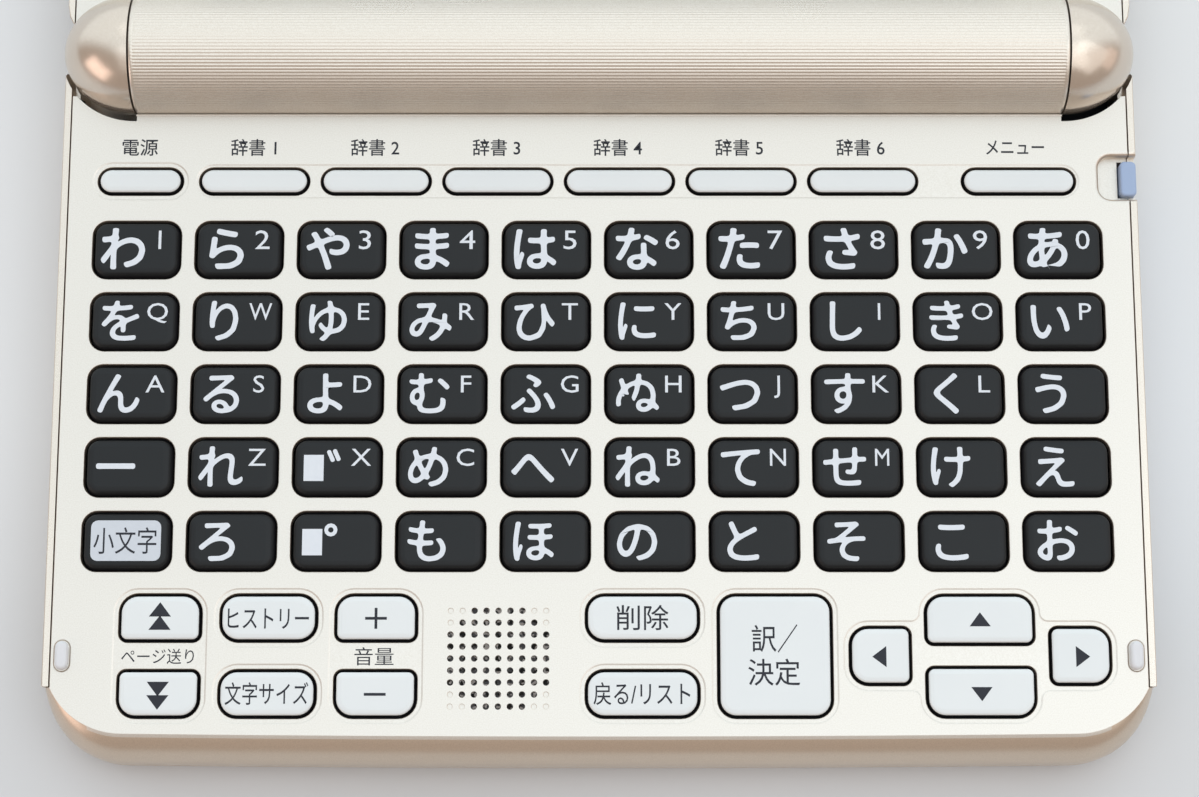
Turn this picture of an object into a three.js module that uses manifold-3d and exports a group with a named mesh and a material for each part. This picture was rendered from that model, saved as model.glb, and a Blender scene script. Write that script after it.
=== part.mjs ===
// An electronic dictionary: a hinged case with a keyboard half and a display half.
//
// Millimetres. +X is to the right, +Y to the rear, +Z up. The origin lies on the table under the
// hinge axis. The lid is open flat, so the keyboard half lies towards -Y and the display half
// towards +Y, each as far from the axis as the other.

import * as THREE from 'three';
import { mergeVertices } from 'three/addons/utils/BufferGeometryUtils.js';
import Module from 'manifold-3d';

const wasm = await Module();
wasm.setup();

// Driving dimensions

const clearance = 0.3;     // running gap between pieces that fit one another
const seatGap = 0.05;      // gap of a piece that is glued or pressed onto a flat face
const seam = 0.25;         // visible gap between the two covers of a half
const overrun = 30;        // how far every cut runs past what it cuts
const beyond = 200;        // and past the whole part
const weldTolerance = 1e-5;
const insideShare = 0.7;   // a place safely inside a round form, as a share of its radius

const shell = {
  reach: 94.7,             // from the hinge axis to the far edge of each half
  bow: 0.35,               // how far the far edge stands out at its middle
  corner: 10.5,            // plan radius of the two far corners
  wall: 1.6,
  rimWall: 0.8,            // thin strip beside the plate, seen from above
  plate: 1.3,              // thickness of the deck and of the lid's inner frame
  plateCorner: 10,
  lip: 0.1,                // how far the tray stands out below the plate's front
};

const base = {
  footHeight: 0.8,
  thickness: 11.2,
  roll: 5.4,               // radius of the deck's rolled front edge
  rollStart: 25,           // degrees from level at which the roll begins
  skirt: 2.3,              // depth of the deck's side skirts
  bottomRound: 2.6,
  floor: 1.4,
  rear: 4.9,               // how far the floor runs behind the hinge axis
  rearCorner: 6,
};

const lid = {
  thickness: 7,
  roll: 3.8,
  rollStart: 25,
  skirt: 2.1,
  bottomRound: 2,
  floor: 1.3,
  near: 3,
  nearCorner: 2.5,
};

const hinge = {
  rise: 0.5,               // hinge axis above the deck
  barrelRadius: 8,
  domeLength: 9.3,         // from the barrel's end to the overall side
  endGap: 0.4,             // between the barrel's end and the dome
  deckGap: 0.15,           // between the deck and the barrel
  lidGap: 0.8,             // between the lid's near edge and the barrel
  domeGap: 1.3,            // between a dome and the cut-out in the base
  plateNotchGap: 0.5,
  shaftRadius: 2.2,
  shaftWall: 5.4,          // from the battery bay's end to the shaft
  shaftInBarrel: 7.6,
  shaftInDome: 5.5,
  shaftBore: 1.3,          // bore of the shaft that the cable runs through
};

const battery = {
  radius: 5.25,
  bodyLength: 43.7,
  nubRadius: 1.9,
  nub: 0.8,
  slotHalfWidth: 4.8,      // narrower than the battery, so that the slot's lips hold it
  contact: 0.6,            // thickness of a contact plate
  contactHalfWidth: 3.8,
  springRadius: 3.4,
  springTipRadius: 1.5,
  springSpan: 8.6,         // from the contact plate to the battery, pressed together
};

const door = {
  bayInset: 0.5,           // how much shorter the door is than the bay, at each end
  front: 7,                // how far the door runs in front of the hinge axis
  rear: 3.9,
  flange: 1.2,             // how far the upper flange overhangs the floor at each end
  plate: 0.8,              // thickness of the outer plate, below the flange
  lip: 2,                  // height of the upturned rear lip above the floor
  lipThickness: 1.3,
};

const saddle = { doorGap: 0.5, barrelInset: 0.4, front: 8 };

const keyField = {
  sideMargin: 2.75,        // from the deck's edge to the key field
  kanaBar: 1.8,            // bar of deck between two dark keys, across
  kanaBarDeep: 1.85,       // and from row to row
  kanaCorner: 2,
  pillDepth: 3.85,
  lowerBar: 3.45,          // bar between the two lower rows
  lowerCorner: 2.5,
  innerCorner: 1.2,
  enterCorner: 2.4,
};

const cap = {
  kanaProud: 0.7,          // above the deck
  paleProud: 0.65,
  gap: 0.28,               // round a cap, inside its hole
  draft: 0.2,              // how much a cap narrows at its top
  flange: 0.5,             // how far the flange runs under the deck
  flangeGap: 0.3,
  flangeThickness: 1.6,
  matGap: 0.8,             // from the flange down to the rubber mat
};

const board = { thickness: 1, edge: 3, rearEdge: 14, matThickness: 1.1, holeRadius: 1.5 };

const speaker = {
  fromFront: 13.505,
  pitch: 1.545,
  holeRadius: 0.42,
  rimRadius: 7.8,
  rim: 1.2,
  magnetRadius: 4.6,
  magnet: 1.6,
  holesToEdge: 4,          // rows of holes on each side of the middle one
  blindFrom: 7,            // steps from the middle at which the corners are left solid
};

const notch = {
  halfLength: 3.25,
  depth: 3.3,
  width: 5.4,              // from the overall side inwards
  corner: 1.6,
  wall: 1,
  floor: 0.5,
};

const stylus = {
  width: 2.85,
  depth: 3.4,
  barLength: 68,
  tipLength: 6,
  tipWidth: 1.2,
  headHalfLength: 2.75,
  headCorner: 0.7,
  headBelowDeck: 0.1,
  channelWall: 1.4,
  bottomAboveFloor: 2,
};

const bumper = { width: 2, barLength: 4, height: 0.95, fromSide: 2.55 };
const foot = { barLength: 12, width: 4, sideShare: 0.79, frontShare: 0.88, rear: 0 };

const screw = {
  headRadius: 2,
  head: 0.8,
  shankRadius: 1,
  shank: 4.6,
  bossRadius: 2.8,
  bossBore: 1.3,
  headBore: 2.4,
};

const display = {
  sideMargin: 15.8,        // from the overall side to the window
  farMargin: 9.562,        // from the lid's far edge to the window
  nearMargin: 17.138,      // from the hinge axis to the window
  windowThickness: 0.85,
  ledge: 4,                // how far the frame's ledge reaches under the window
  frameThickness: 1.7,
  recess: 1,
  panelSideInset: 2,       // how much smaller the panel is than the window
  panelEndInset: 1,
  panelThickness: 3.2,
  corner: 1.5,
};

const cable = { radius: 0.75, bend: 2.5, turnDepth: 6, endDepth: 30 };

// Facets

const facets = { barrel: 48, bay: 24, shaft: 16, bore: 8, dome: 28, domeRings: 14, boss: 10, hole: 4 };
const cableFacets = { section: 5, length: 36, sectionTurn: 300 };
const arcSteps = { key: 2, part: 3, farCorner: 6, farEdge: 4, roll: 4, round: 3 };

// Places of the keys, as shares of the key field's half-width and of the deck's depth

const kanaColumns = 10;
const kanaRows = 5;
const kanaFirstRowShare = 0.2247;
const kanaPitchShare = 0.11707;
const kanaOffsetShare = -0.003;
const pillRowShare = 0.1114;
const upperRowShare = 0.8127;
const lowerRowShare = 0.9301;
const arrowHalfPitchShare = 0.056;
const arrowDepthShare = 0.0808;
const sideArrowDepthShare = 0.0927;
const arrowReachShare = 0.1896;
const notchRowShare = 0.1048;
const bumperRowShare = 0.8713;
const screwShares = { x: 0.88, rear: 0.18, front: 0.8 };

const pillShares = [
  { name: 'power_key', x: -0.9, width: 0.1691 },
  { name: 'function_key_1', x: -0.6765, width: 0.2179 },
  { name: 'function_key_2', x: -0.4377, width: 0.2179 },
  { name: 'function_key_3', x: -0.1988, width: 0.2179 },
  { name: 'function_key_4', x: 0.04, width: 0.2179 },
  { name: 'function_key_5', x: 0.2788, width: 0.2179 },
  { name: 'function_key_6', x: 0.5177, width: 0.2179 },
  { name: 'menu_key', x: 0.8237, width: 0.2259 },
];

const pageShares = { x: -0.8338, width: 0.1588 };
const listShares = { x: -0.6279, width: 0.1875 };
const volumeShares = { x: -0.4235, width: 0.1588 };
const speakerShares = { x: -0.1912 };
const editShares = { x: 0.0824, width: 0.2184 };
const enterShares = { x: 0.3338, width: 0.2199 };
const arrowShares = { x: 0.7231, width: 0.2106, sideWidth: 0.1194 };

// Levels and places that follow

const deckZ = base.footHeight + base.thickness;
const axisZ = deckZ + hinge.rise;
const bottomZ = base.footHeight;
const floorZ = bottomZ + base.floor;
const lidOuterZ = deckZ - lid.thickness;
const lidFloorZ = lidOuterZ + lid.floor;
const deckUnderZ = deckZ - shell.plate;
const flangeTopZ = deckUnderZ - cap.flangeGap;
const flangeBottomZ = flangeTopZ - cap.flangeThickness;
const matTopZ = flangeBottomZ - cap.matGap;
const matBottomZ = matTopZ - board.matThickness;
const boardTopZ = matBottomZ - clearance;
const boardBottomZ = boardTopZ - board.thickness;

// The two batteries set the barrel's length, and the barrel sets the case's width.
const bayHalfLength = battery.bodyLength + battery.nub + battery.contact + battery.springSpan / 2
  + 2 * seatGap;
const doorHalfLength = bayHalfLength - door.bayInset;
const domeX = bayHalfLength + hinge.shaftWall + hinge.shaftInBarrel;
const barrelHalfLength = domeX - hinge.endGap;
const halfWidth = domeX + hinge.domeLength;

const plateHalfWidth = halfWidth - shell.rimWall - seam;
const deckRear = hinge.barrelRadius + hinge.deckGap;
const rollInset = base.roll * (1 - Math.sin(THREE.MathUtils.degToRad(base.rollStart)));
const deckDepth = shell.reach - rollInset - deckRear;
const fieldHalfWidth = plateHalfWidth - keyField.sideMargin;
const kanaPitch = (2 * fieldHalfWidth) / kanaColumns;
const kanaPitchDeep = deckDepth * kanaPitchShare;

const fieldX = (share) => fieldHalfWidth * share;
const rowY = (share) => -(deckRear + deckDepth * share);
const speakerX = fieldX(speakerShares.x);
const speakerY = speaker.fromFront - shell.reach;

// Solids

/** A closed geometry as a solid that can be joined and cut. */
function solidOf(geometry) {
  geometry.deleteAttribute('normal');
  geometry.deleteAttribute('uv');
  const merged = mergeVertices(geometry, weldTolerance);
  return new wasm.Manifold(new wasm.Mesh({
    numProp: 3,
    vertProperties: new Float32Array(merged.getAttribute('position').array),
    triVerts: new Uint32Array(merged.getIndex().array),
  }));
}

/** The geometry of a solid. */
function geometryOf(solid) {
  const mesh = solid.getMesh();
  const geometry = new THREE.BufferGeometry();
  geometry.setAttribute('position', new THREE.BufferAttribute(mesh.vertProperties, 3));
  geometry.setIndex(new THREE.BufferAttribute(mesh.triVerts, 1));
  return geometry;
}

const join = (solids) => solids.reduce((sum, next) => sum.add(next));
const cut = (solid, ...tools) => tools.reduce((rest, tool) => rest.subtract(tool), solid);

/** A box between two corners. */
function box(x0, x1, y0, y1, z0, z1) {
  const geometry = new THREE.BoxGeometry(x1 - x0, y1 - y0, z1 - z0);
  geometry.translate((x0 + x1) / 2, (y0 + y1) / 2, (z0 + z1) / 2);
  return solidOf(geometry);
}

/** A round bar along the hinge axis, from x0 to x1. */
function bar(radius, x0, x1, sides) {
  const geometry = new THREE.CylinderGeometry(radius, radius, x1 - x0, sides);
  geometry.rotateZ(Math.PI / 2);
  geometry.translate((x0 + x1) / 2, 0, axisZ);
  return solidOf(geometry);
}

/** An upright round bar. */
function post(radius, x, y, z0, z1, sides) {
  const geometry = new THREE.CylinderGeometry(radius, radius, z1 - z0, sides);
  geometry.rotateX(Math.PI / 2);
  geometry.translate(x, y, (z0 + z1) / 2);
  return solidOf(geometry);
}

/** A whole ellipsoid round the hinge axis, centred where the dome on `side` begins. */
function domeBody(side, length, radius) {
  const geometry = new THREE.SphereGeometry(1, facets.dome, facets.domeRings);
  geometry.rotateZ(Math.PI / 2);
  geometry.scale(length, radius, radius);
  geometry.translate(side * domeX, 0, axisZ);
  return solidOf(geometry);
}

/** A closed solid through rings of equal point count, given from the bottom up. */
function loft(rings) {
  const count = rings[0].points.length;
  const positions = rings.flatMap(({ z, points }) => points.flatMap((p) => [p.x, p.y, z]));
  const index = [];
  for (let ring = 0; ring + 1 < rings.length; ring += 1) {
    for (let i = 0; i < count; i += 1) {
      const a = ring * count + i;
      const b = ring * count + ((i + 1) % count);
      index.push(a, b, b + count, a, b + count, a + count);
    }
  }
  const last = (rings.length - 1) * count;
  for (const [a, b, c] of THREE.ShapeUtils.triangulateShape(rings[0].points, [])) {
    index.push(c, b, a);
  }
  for (const [a, b, c] of THREE.ShapeUtils.triangulateShape(rings[rings.length - 1].points, [])) {
    index.push(last + a, last + b, last + c);
  }
  const geometry = new THREE.BufferGeometry();
  geometry.setAttribute('position', new THREE.Float32BufferAttribute(positions, 3));
  geometry.setIndex(index);
  return solidOf(geometry);
}

/** An upright prism over one outline. */
const prism = (points, z0, z1) => loft([{ z: z0, points }, { z: z1, points }]);

/** Points of an arc about (x, y), in plan. */
function arc(x, y, radius, fromDegrees, toDegrees, steps) {
  return Array.from({ length: steps + 1 }, (_, i) => {
    const angle = THREE.MathUtils.degToRad(fromDegrees + ((toDegrees - fromDegrees) * i) / steps);
    return new THREE.Vector2(x + radius * Math.cos(angle), y + radius * Math.sin(angle));
  });
}

/** A rounded rectangle. Its radii run from the far right corner anticlockwise. */
function roundedRect(x, y, width, depth, radii, steps) {
  const [farRight, farLeft, nearLeft, nearRight] = radii;
  const right = x + width / 2;
  const left = x - width / 2;
  const far = y + depth / 2;
  const near = y - depth / 2;
  return [
    ...arc(right - farRight, far - farRight, farRight, 0, 90, steps),
    ...arc(left + farLeft, far - farLeft, farLeft, 90, 180, steps),
    ...arc(left + nearLeft, near + nearLeft, nearLeft, 180, 270, steps),
    ...arc(right - nearRight, near + nearRight, nearRight, 270, 360, steps),
  ];
}

/** Plan outline of a half: `side` is -1 for the base and +1 for the lid. */
function halfOutline(side, { width, far, near, corner, nearCorner }) {
  const { farCorner, farEdge, part } = arcSteps;
  const cornerX = width - corner;
  const cornerY = far - shell.bow - corner;
  const edge = Array.from({ length: farEdge - 1 }, (_, i) => {
    const x = cornerX * (1 - (2 * (i + 1)) / farEdge);
    return new THREE.Vector2(x, far - shell.bow * (x / cornerX) ** 2);
  });
  const outline = [
    ...arc(cornerX, cornerY, corner, 0, 90, farCorner),
    ...edge,
    ...arc(-cornerX, cornerY, corner, 90, 180, farCorner),
    ...arc(-width + nearCorner, near + nearCorner, nearCorner, 180, 270, part),
    ...arc(width - nearCorner, near + nearCorner, nearCorner, 270, 360, part),
  ];
  return outline.map((p) => new THREE.Vector2(side * p.x, side * p.y));
}

/** Levels of a rolled far edge: how far each lies below the face, and how far it is set in. */
function rollLevels(radius, startDegrees) {
  const steps = arcSteps.roll;
  return Array.from({ length: steps + 1 }, (_, i) => {
    const angle = THREE.MathUtils.degToRad(90 - ((90 - startDegrees) * i) / steps);
    const start = THREE.MathUtils.degToRad(startDegrees);
    return {
      drop: radius * (Math.cos(start) - Math.cos(angle)),
      inset: radius * (1 - Math.sin(angle)),
    };
  });
}

/** Levels of a rounded outer edge, from the outer face inwards. */
function roundLevels(radius) {
  const steps = arcSteps.round;
  return Array.from({ length: steps + 1 }, (_, i) => {
    const angle = (Math.PI / 2) * (i / steps);
    return { rise: radius * (1 - Math.cos(angle)), inset: radius * (1 - Math.sin(angle)) };
  });
}

/** The full outer form of one half, before it is parted into a plate and a tray. */
function halfForm(side, half, outerZ, near, nearCorner) {
  const ring = (z, inset, farInset) => ({
    z,
    points: halfOutline(side, {
      width: halfWidth - inset,
      far: shell.reach - inset - farInset,
      near: near + inset,
      corner: shell.corner - inset,
      nearCorner,
    }),
  });
  return loft([
    ...roundLevels(half.bottomRound).map(({ rise, inset }) => ring(outerZ + rise, inset, 0)),
    ...rollLevels(half.roll, half.rollStart).map(({ drop, inset }) => ring(deckZ - drop, 0, inset)),
  ]);
}

/** Everything inside the plan line that parts the plate from the tray. */
function plateRegion(side, grow, near, z0) {
  return prism(halfOutline(side, {
    width: plateHalfWidth + grow,
    far: shell.reach - shell.lip + grow,
    near,
    corner: shell.plateCorner + grow,
    nearCorner: grow + clearance,
  }), z0, deckZ + overrun);
}

/** The hollow under a plate: the same roll, one plate thickness further in. */
function plateHollow(side, half, near, z0) {
  const ring = (z, farInset) => ({
    z,
    points: halfOutline(side, {
      width: plateHalfWidth - shell.plate,
      far: shell.reach - shell.plate - farInset,
      near,
      corner: shell.plateCorner - shell.plate,
      nearCorner: clearance,
    }),
  });
  const levels = rollLevels(half.roll, half.rollStart);
  return loft([
    ring(z0, 0),
    ...levels.map(({ drop, inset }) => ring(deckZ - shell.plate - drop, inset)),
  ]);
}

/** The hollow of a tray, open at its top. */
function trayHollow(side, z0, near) {
  return prism(halfOutline(side, {
    width: halfWidth - shell.wall,
    far: shell.reach - shell.wall,
    near,
    corner: shell.corner - shell.wall,
    nearCorner: clearance,
  }), z0, deckZ + overrun);
}

const rollDrop = (half) => rollLevels(half.roll, half.rollStart)[0].drop;
const stepY = shell.reach - shell.corner;

/** The room that both domes need in the base, with a way out to the rear. */
function domeRoom() {
  return join([-1, 1].flatMap((side) => {
    const radius = hinge.barrelRadius + hinge.domeGap;
    const inner = side * (domeX - clearance);
    const outer = side * (domeX + overrun);
    const [x0, x1] = side > 0 ? [inner, outer] : [outer, inner];
    const inside = box(x0, x1, -overrun, overrun, axisZ - overrun, axisZ + overrun);
    const room = domeBody(side, hinge.domeLength + hinge.domeGap, radius).intersect(inside);
    return [room, box(x0, x1, 0, overrun, axisZ - radius, axisZ + overrun)];
  }));
}

// Keys

/** Radii of a key whose outward corners are large and whose other corners are small. */
const cornersToward = {
  far: [keyField.lowerCorner, keyField.lowerCorner, keyField.innerCorner, keyField.innerCorner],
  near: [keyField.innerCorner, keyField.innerCorner, keyField.lowerCorner, keyField.lowerCorner],
  left: [keyField.innerCorner, keyField.lowerCorner, keyField.lowerCorner, keyField.innerCorner],
  right: [keyField.lowerCorner, keyField.innerCorner, keyField.innerCorner, keyField.lowerCorner],
};
const allCorners = (radius) => [radius, radius, radius, radius];

const upperY = rowY(upperRowShare);
const lowerY = rowY(lowerRowShare);
const lowerDepth = upperY - lowerY - keyField.lowerBar;
const arrowX = fieldX(arrowShares.x);
const arrowY = (upperY + lowerY) / 2;
const arrowDepth = deckDepth * arrowDepthShare;
const arrowWidth = fieldX(arrowShares.width);
const arrowOffset = deckDepth * arrowHalfPitchShare;
const sideArrow = {
  width: fieldX(arrowShares.sideWidth),
  depth: deckDepth * sideArrowDepthShare,
  offset: fieldX(arrowReachShare),
};
const roundCorners = allCorners(keyField.lowerCorner);

/** One lower key in the column that `shares` places. */
function columnKey(name, shares, y, radii) {
  return { name, x: fieldX(shares.x), y, width: fieldX(shares.width), depth: lowerDepth, radii };
}

const pills = pillShares.map(({ name, x, width }) => ({
  name,
  x: fieldX(x),
  y: rowY(pillRowShare),
  width: fieldX(width),
  depth: keyField.pillDepth,
  radii: allCorners(keyField.pillDepth / 2),
}));

const lowerKeys = [
  columnKey('page_up_key', pageShares, upperY, cornersToward.far),
  columnKey('page_down_key', pageShares, lowerY, cornersToward.near),
  columnKey('history_key', listShares, upperY, roundCorners),
  columnKey('text_size_key', listShares, lowerY, roundCorners),
  columnKey('volume_up_key', volumeShares, upperY, cornersToward.far),
  columnKey('volume_down_key', volumeShares, lowerY, cornersToward.near),
  columnKey('delete_key', editShares, upperY, roundCorners),
  columnKey('back_key', editShares, lowerY, roundCorners),
  {
    ...columnKey('enter_key', enterShares, arrowY, allCorners(keyField.enterCorner)),
    depth: upperY - lowerY + lowerDepth,
  },
  {
    name: 'arrow_up_key', x: arrowX, y: arrowY + arrowOffset, width: arrowWidth,
    depth: arrowDepth, radii: cornersToward.far,
  },
  {
    name: 'arrow_down_key', x: arrowX, y: arrowY - arrowOffset, width: arrowWidth,
    depth: arrowDepth, radii: cornersToward.near,
  },
  {
    name: 'arrow_left_key', x: arrowX - sideArrow.offset, y: arrowY, width: sideArrow.width,
    depth: sideArrow.depth, radii: cornersToward.left,
  },
  {
    name: 'arrow_right_key', x: arrowX + sideArrow.offset, y: arrowY, width: sideArrow.width,
    depth: sideArrow.depth, radii: cornersToward.right,
  },
];

const kanaKey = (column, row) => ({
  x: (column - (kanaColumns - 1) / 2) * kanaPitch + fieldX(kanaOffsetShare),
  y: rowY(kanaFirstRowShare) - row * kanaPitchDeep,
  width: kanaPitch - keyField.kanaBar,
  depth: kanaPitchDeep - keyField.kanaBarDeep,
  radii: allCorners(keyField.kanaCorner),
});

/** A key's outline, grown by `grow` all round. */
function keyOutline(key, grow) {
  const largest = Math.min(key.width, key.depth) / 2;
  const radii = key.radii.map((radius) => Math.min(radius, largest) + grow);
  return roundedRect(key.x, key.y, key.width + 2 * grow, key.depth + 2 * grow, radii, arcSteps.key);
}

const keyHole = (key) => prism(keyOutline(key, 0), deckUnderZ - overrun, deckZ + overrun);

/** A pale key: a drafted cap on a flange that the deck holds down. */
function paleKey(key) {
  return loft([
    { z: flangeBottomZ, points: keyOutline(key, cap.flange) },
    { z: flangeTopZ, points: keyOutline(key, cap.flange) },
    { z: flangeTopZ, points: keyOutline(key, -cap.gap) },
    { z: deckZ + cap.paleProud, points: keyOutline(key, -cap.gap - cap.draft) },
  ]);
}

/** A column of dark key caps, moulded on one strip under the deck. */
function kanaStrip(column) {
  const keys = Array.from({ length: kanaRows }, (_, row) => kanaKey(column, row));
  const [first, last] = [keys[0], keys[kanaRows - 1]];
  const halfStrip = first.width / 2 - cap.gap;
  const strip = box(first.x - halfStrip, first.x + halfStrip,
    last.y - last.depth / 2, first.y + first.depth / 2, flangeBottomZ, flangeTopZ);
  const caps = keys.map((key) => loft([
    { z: flangeBottomZ + cap.flangeThickness / 2, points: keyOutline(key, -cap.gap) },
    { z: deckZ + cap.kanaProud, points: keyOutline(key, -cap.gap - cap.draft) },
  ]));
  return join([strip, ...caps]);
}

// Base

const notchY = rowY(notchRowShare);
const notchX = halfWidth - notch.width;
const notchFloorZ = deckZ - notch.depth;
const stylusX = halfWidth - stylus.width;
const stylusBottomZ = floorZ + stylus.bottomAboveFloor;
const stylusTopZ = stylusBottomZ + stylus.depth;
const stylusRear = notchY + stylus.headHalfLength;
const stylusFront = stylusRear - stylus.barLength;
const channelX = stylusX - clearance - stylus.channelWall;

/** The straight-sided notch, cut down through the deck and out of the side. */
function notchCut() {
  const width = notch.width + overrun;
  const radii = [0, notch.corner, notch.corner, 0];
  const points = roundedRect(notchX + width / 2, notchY, width, 2 * notch.halfLength, radii, arcSteps.part);
  const shape = points.filter((p, i) => i === 0 || p.distanceTo(points[i - 1]) > weldTolerance);
  return prism(shape, notchFloorZ, deckZ + overrun);
}

/** Room for the stylus: a groove that is open at the side, and a slot for its head. */
function stylusRoom() {
  const x0 = stylusX - clearance;
  const x1 = halfWidth + overrun;
  return join([
    box(x0, x1, stylusFront - clearance, stylusRear + clearance,
      stylusBottomZ - clearance, stylusTopZ + clearance),
    box(x0, x1, stylusRear - 2 * stylus.headHalfLength - clearance, stylusRear + clearance,
      stylusBottomZ, deckZ + overrun),
  ]);
}

/** The perforated field over the speaker: a square of holes with its corners left solid. */
function grilleHoles() {
  const last = speaker.holesToEdge;
  const holes = [];
  for (let i = -last; i <= last; i += 1) {
    for (let j = -last; j <= last; j += 1) {
      if (Math.abs(i) + Math.abs(j) < speaker.blindFrom) {
        holes.push(post(speaker.holeRadius, speakerX + i * speaker.pitch,
          speakerY + j * speaker.pitch, deckUnderZ - clearance, deckZ + clearance, facets.hole));
      }
    }
  }
  return join(holes);
}

function makeDeck() {
  const seamZ = deckZ - rollDrop(base) - clearance;
  const skirtZ = deckZ - base.skirt;
  const form = halfForm(-1, base, bottomZ, -base.rear, base.rearCorner);
  const plate = cut(
    form.intersect(plateRegion(-1, 0, -base.rear, seamZ)),
    plateHollow(-1, base, -overrun, bottomZ - overrun),
    box(-beyond, beyond, -stepY, overrun, bottomZ, skirtZ),
  );
  const cup = box(notchX - notch.wall, halfWidth - shell.wall - clearance,
    notchY - notch.halfLength - notch.wall, notchY + notch.halfLength + notch.wall,
    notchFloorZ - notch.floor, deckUnderZ + seatGap);
  const holes = [...pills, ...lowerKeys].map(keyHole);
  for (let column = 0; column < kanaColumns; column += 1) {
    for (let row = 0; row < kanaRows; row += 1) {
      holes.push(keyHole(kanaKey(column, row)));
    }
  }
  return cut(
    join([plate, cup]),
    notchCut(),
    stylusRoom(),
    bar(deckRear, -domeX + clearance, domeX - clearance, facets.barrel),
    box(-halfWidth, halfWidth, -hinge.barrelRadius * insideShare, overrun,
      bottomZ, deckZ + overrun),
    domeRoom(),
    join(holes),
    grilleHoles(),
  );
}

const screwPlaces = [-1, 1].flatMap((side) => [
  { x: side * fieldX(screwShares.x), y: rowY(screwShares.rear) },
  { x: side * fieldX(screwShares.x), y: rowY(screwShares.front) },
]);

function makeTray() {
  const seamZ = deckZ - rollDrop(base) - 2 * clearance;
  const ledgeZ = deckZ - base.skirt - clearance;
  const form = halfForm(-1, base, bottomZ, -base.rear, base.rearCorner);
  const frontZone = box(-beyond, beyond, -beyond, -stepY + clearance, bottomZ, deckZ + overrun);
  const rearTop = floorZ + door.lip;
  const hollow = trayHollow(-1, floorZ, -door.rear + door.lipThickness);
  const barrelEnd = domeX - clearance;
  const barrelRoom = bar(hinge.barrelRadius + clearance, -barrelEnd, barrelEnd, facets.barrel);
  const walls = cut(
    form,
    hollow,
    plateRegion(-1, seam, -overrun, ledgeZ),
    plateRegion(-1, seam, -overrun, seamZ).intersect(frontZone),
    box(-beyond, beyond, -door.lip, overrun, rearTop, deckZ + overrun),
  );
  const saddles = [-1, 1].map((side) => {
    const inner = doorHalfLength + door.flange + clearance + saddle.doorGap;
    const outer = barrelHalfLength - saddle.barrelInset;
    const [x0, x1] = side > 0 ? [inner, outer] : [-outer, -inner];
    return box(x0, x1, -saddle.front, door.rear, floorZ - seatGap, axisZ - hinge.barrelRadius / 2);
  });
  const channel = box(channelX, halfWidth - shell.rimWall,
    stylusFront - clearance - stylus.channelWall, stylusRear + clearance + stylus.channelWall,
    floorZ - seatGap, notchFloorZ - notch.floor - clearance);
  const bosses = screwPlaces.map(({ x, y }) => post(screw.bossRadius, x, y, floorZ - seatGap,
    boardBottomZ - clearance, facets.boss));
  const bores = screwPlaces.flatMap(({ x, y }) => [
    post(screw.bossBore, x, y, bottomZ, deckZ, facets.boss),
    post(screw.headBore, x, y, bottomZ - overrun, floorZ, facets.boss),
  ]);
  const doorLedgeZ = bottomZ + door.plate - clearance;
  const doorWay = [
    box(-doorHalfLength - clearance, doorHalfLength + clearance, -door.front - clearance,
      overrun, bottomZ - overrun, doorLedgeZ + seatGap),
    box(-doorHalfLength - door.flange - clearance, doorHalfLength + door.flange + clearance,
      -door.front - clearance, overrun, doorLedgeZ, floorZ + door.lip + clearance),
  ];
  return cut(
    join([walls, ...saddles, channel, ...bosses]),
    barrelRoom,
    domeRoom(),
    stylusRoom(),
    notchCut(),
    ...bores,
    ...doorWay,
  );
}

/** The battery door: an outer plate, a flange that rides on the floor, and a rear lip. */
function makeDoor() {
  const flangeZ = bottomZ + door.plate;
  const flangeHalf = doorHalfLength + door.flange;
  const overlap = seatGap;
  return join([
    box(-doorHalfLength, doorHalfLength, -door.front, door.rear, bottomZ, flangeZ + overlap),
    box(-flangeHalf, flangeHalf, -door.front, door.rear, flangeZ, floorZ),
    box(-flangeHalf, flangeHalf, door.rear - door.lipThickness, door.rear,
      floorZ - overlap, floorZ + door.lip),
  ]);
}

/** The fixed barrel: a tube that holds two batteries, with a bored boss at each end. */
function makeBarrel() {
  const half = barrelHalfLength;
  const bay = bayHalfLength;
  const bayRadius = battery.radius + clearance;
  const shaftEnd = domeX - hinge.shaftInBarrel - clearance;
  const boreRadius = hinge.shaftRadius + clearance;
  return cut(
    bar(hinge.barrelRadius, -half, half, facets.barrel),
    bar(bayRadius, -bay, bay, facets.bay),
    box(-bay, bay, -battery.slotHalfWidth, battery.slotHalfWidth, bottomZ, axisZ),
    bar(boreRadius, shaftEnd, half + overrun, facets.shaft),
    bar(boreRadius, -half - overrun, -shaftEnd, facets.shaft),
    bar(hinge.shaftBore, -shaftEnd - overrun / 2, -bay + clearance, facets.bore),
  );
}

/** A battery with its positive nub towards +X. */
function makeBattery(x0) {
  const x1 = x0 + battery.bodyLength;
  return join([
    bar(battery.radius, x0, x1, facets.shaft),
    bar(battery.nubRadius, x1 - seatGap, x1 + battery.nub, facets.bore),
  ]);
}

const batteryPitch = battery.bodyLength + battery.nub + seatGap;
const plateContactX = bayHalfLength - seatGap - battery.contact;
const batteryRightX = plateContactX - seatGap - battery.nub - battery.bodyLength;
const batteryLeftX = batteryRightX - batteryPitch;
const springContactX = -bayHalfLength + seatGap;

/** The flat contact at the barrel's right end. */
function makePlateContact() {
  const half = battery.contactHalfWidth;
  return box(plateContactX, plateContactX + battery.contact, -half, half, axisZ - half, axisZ + half);
}

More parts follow.
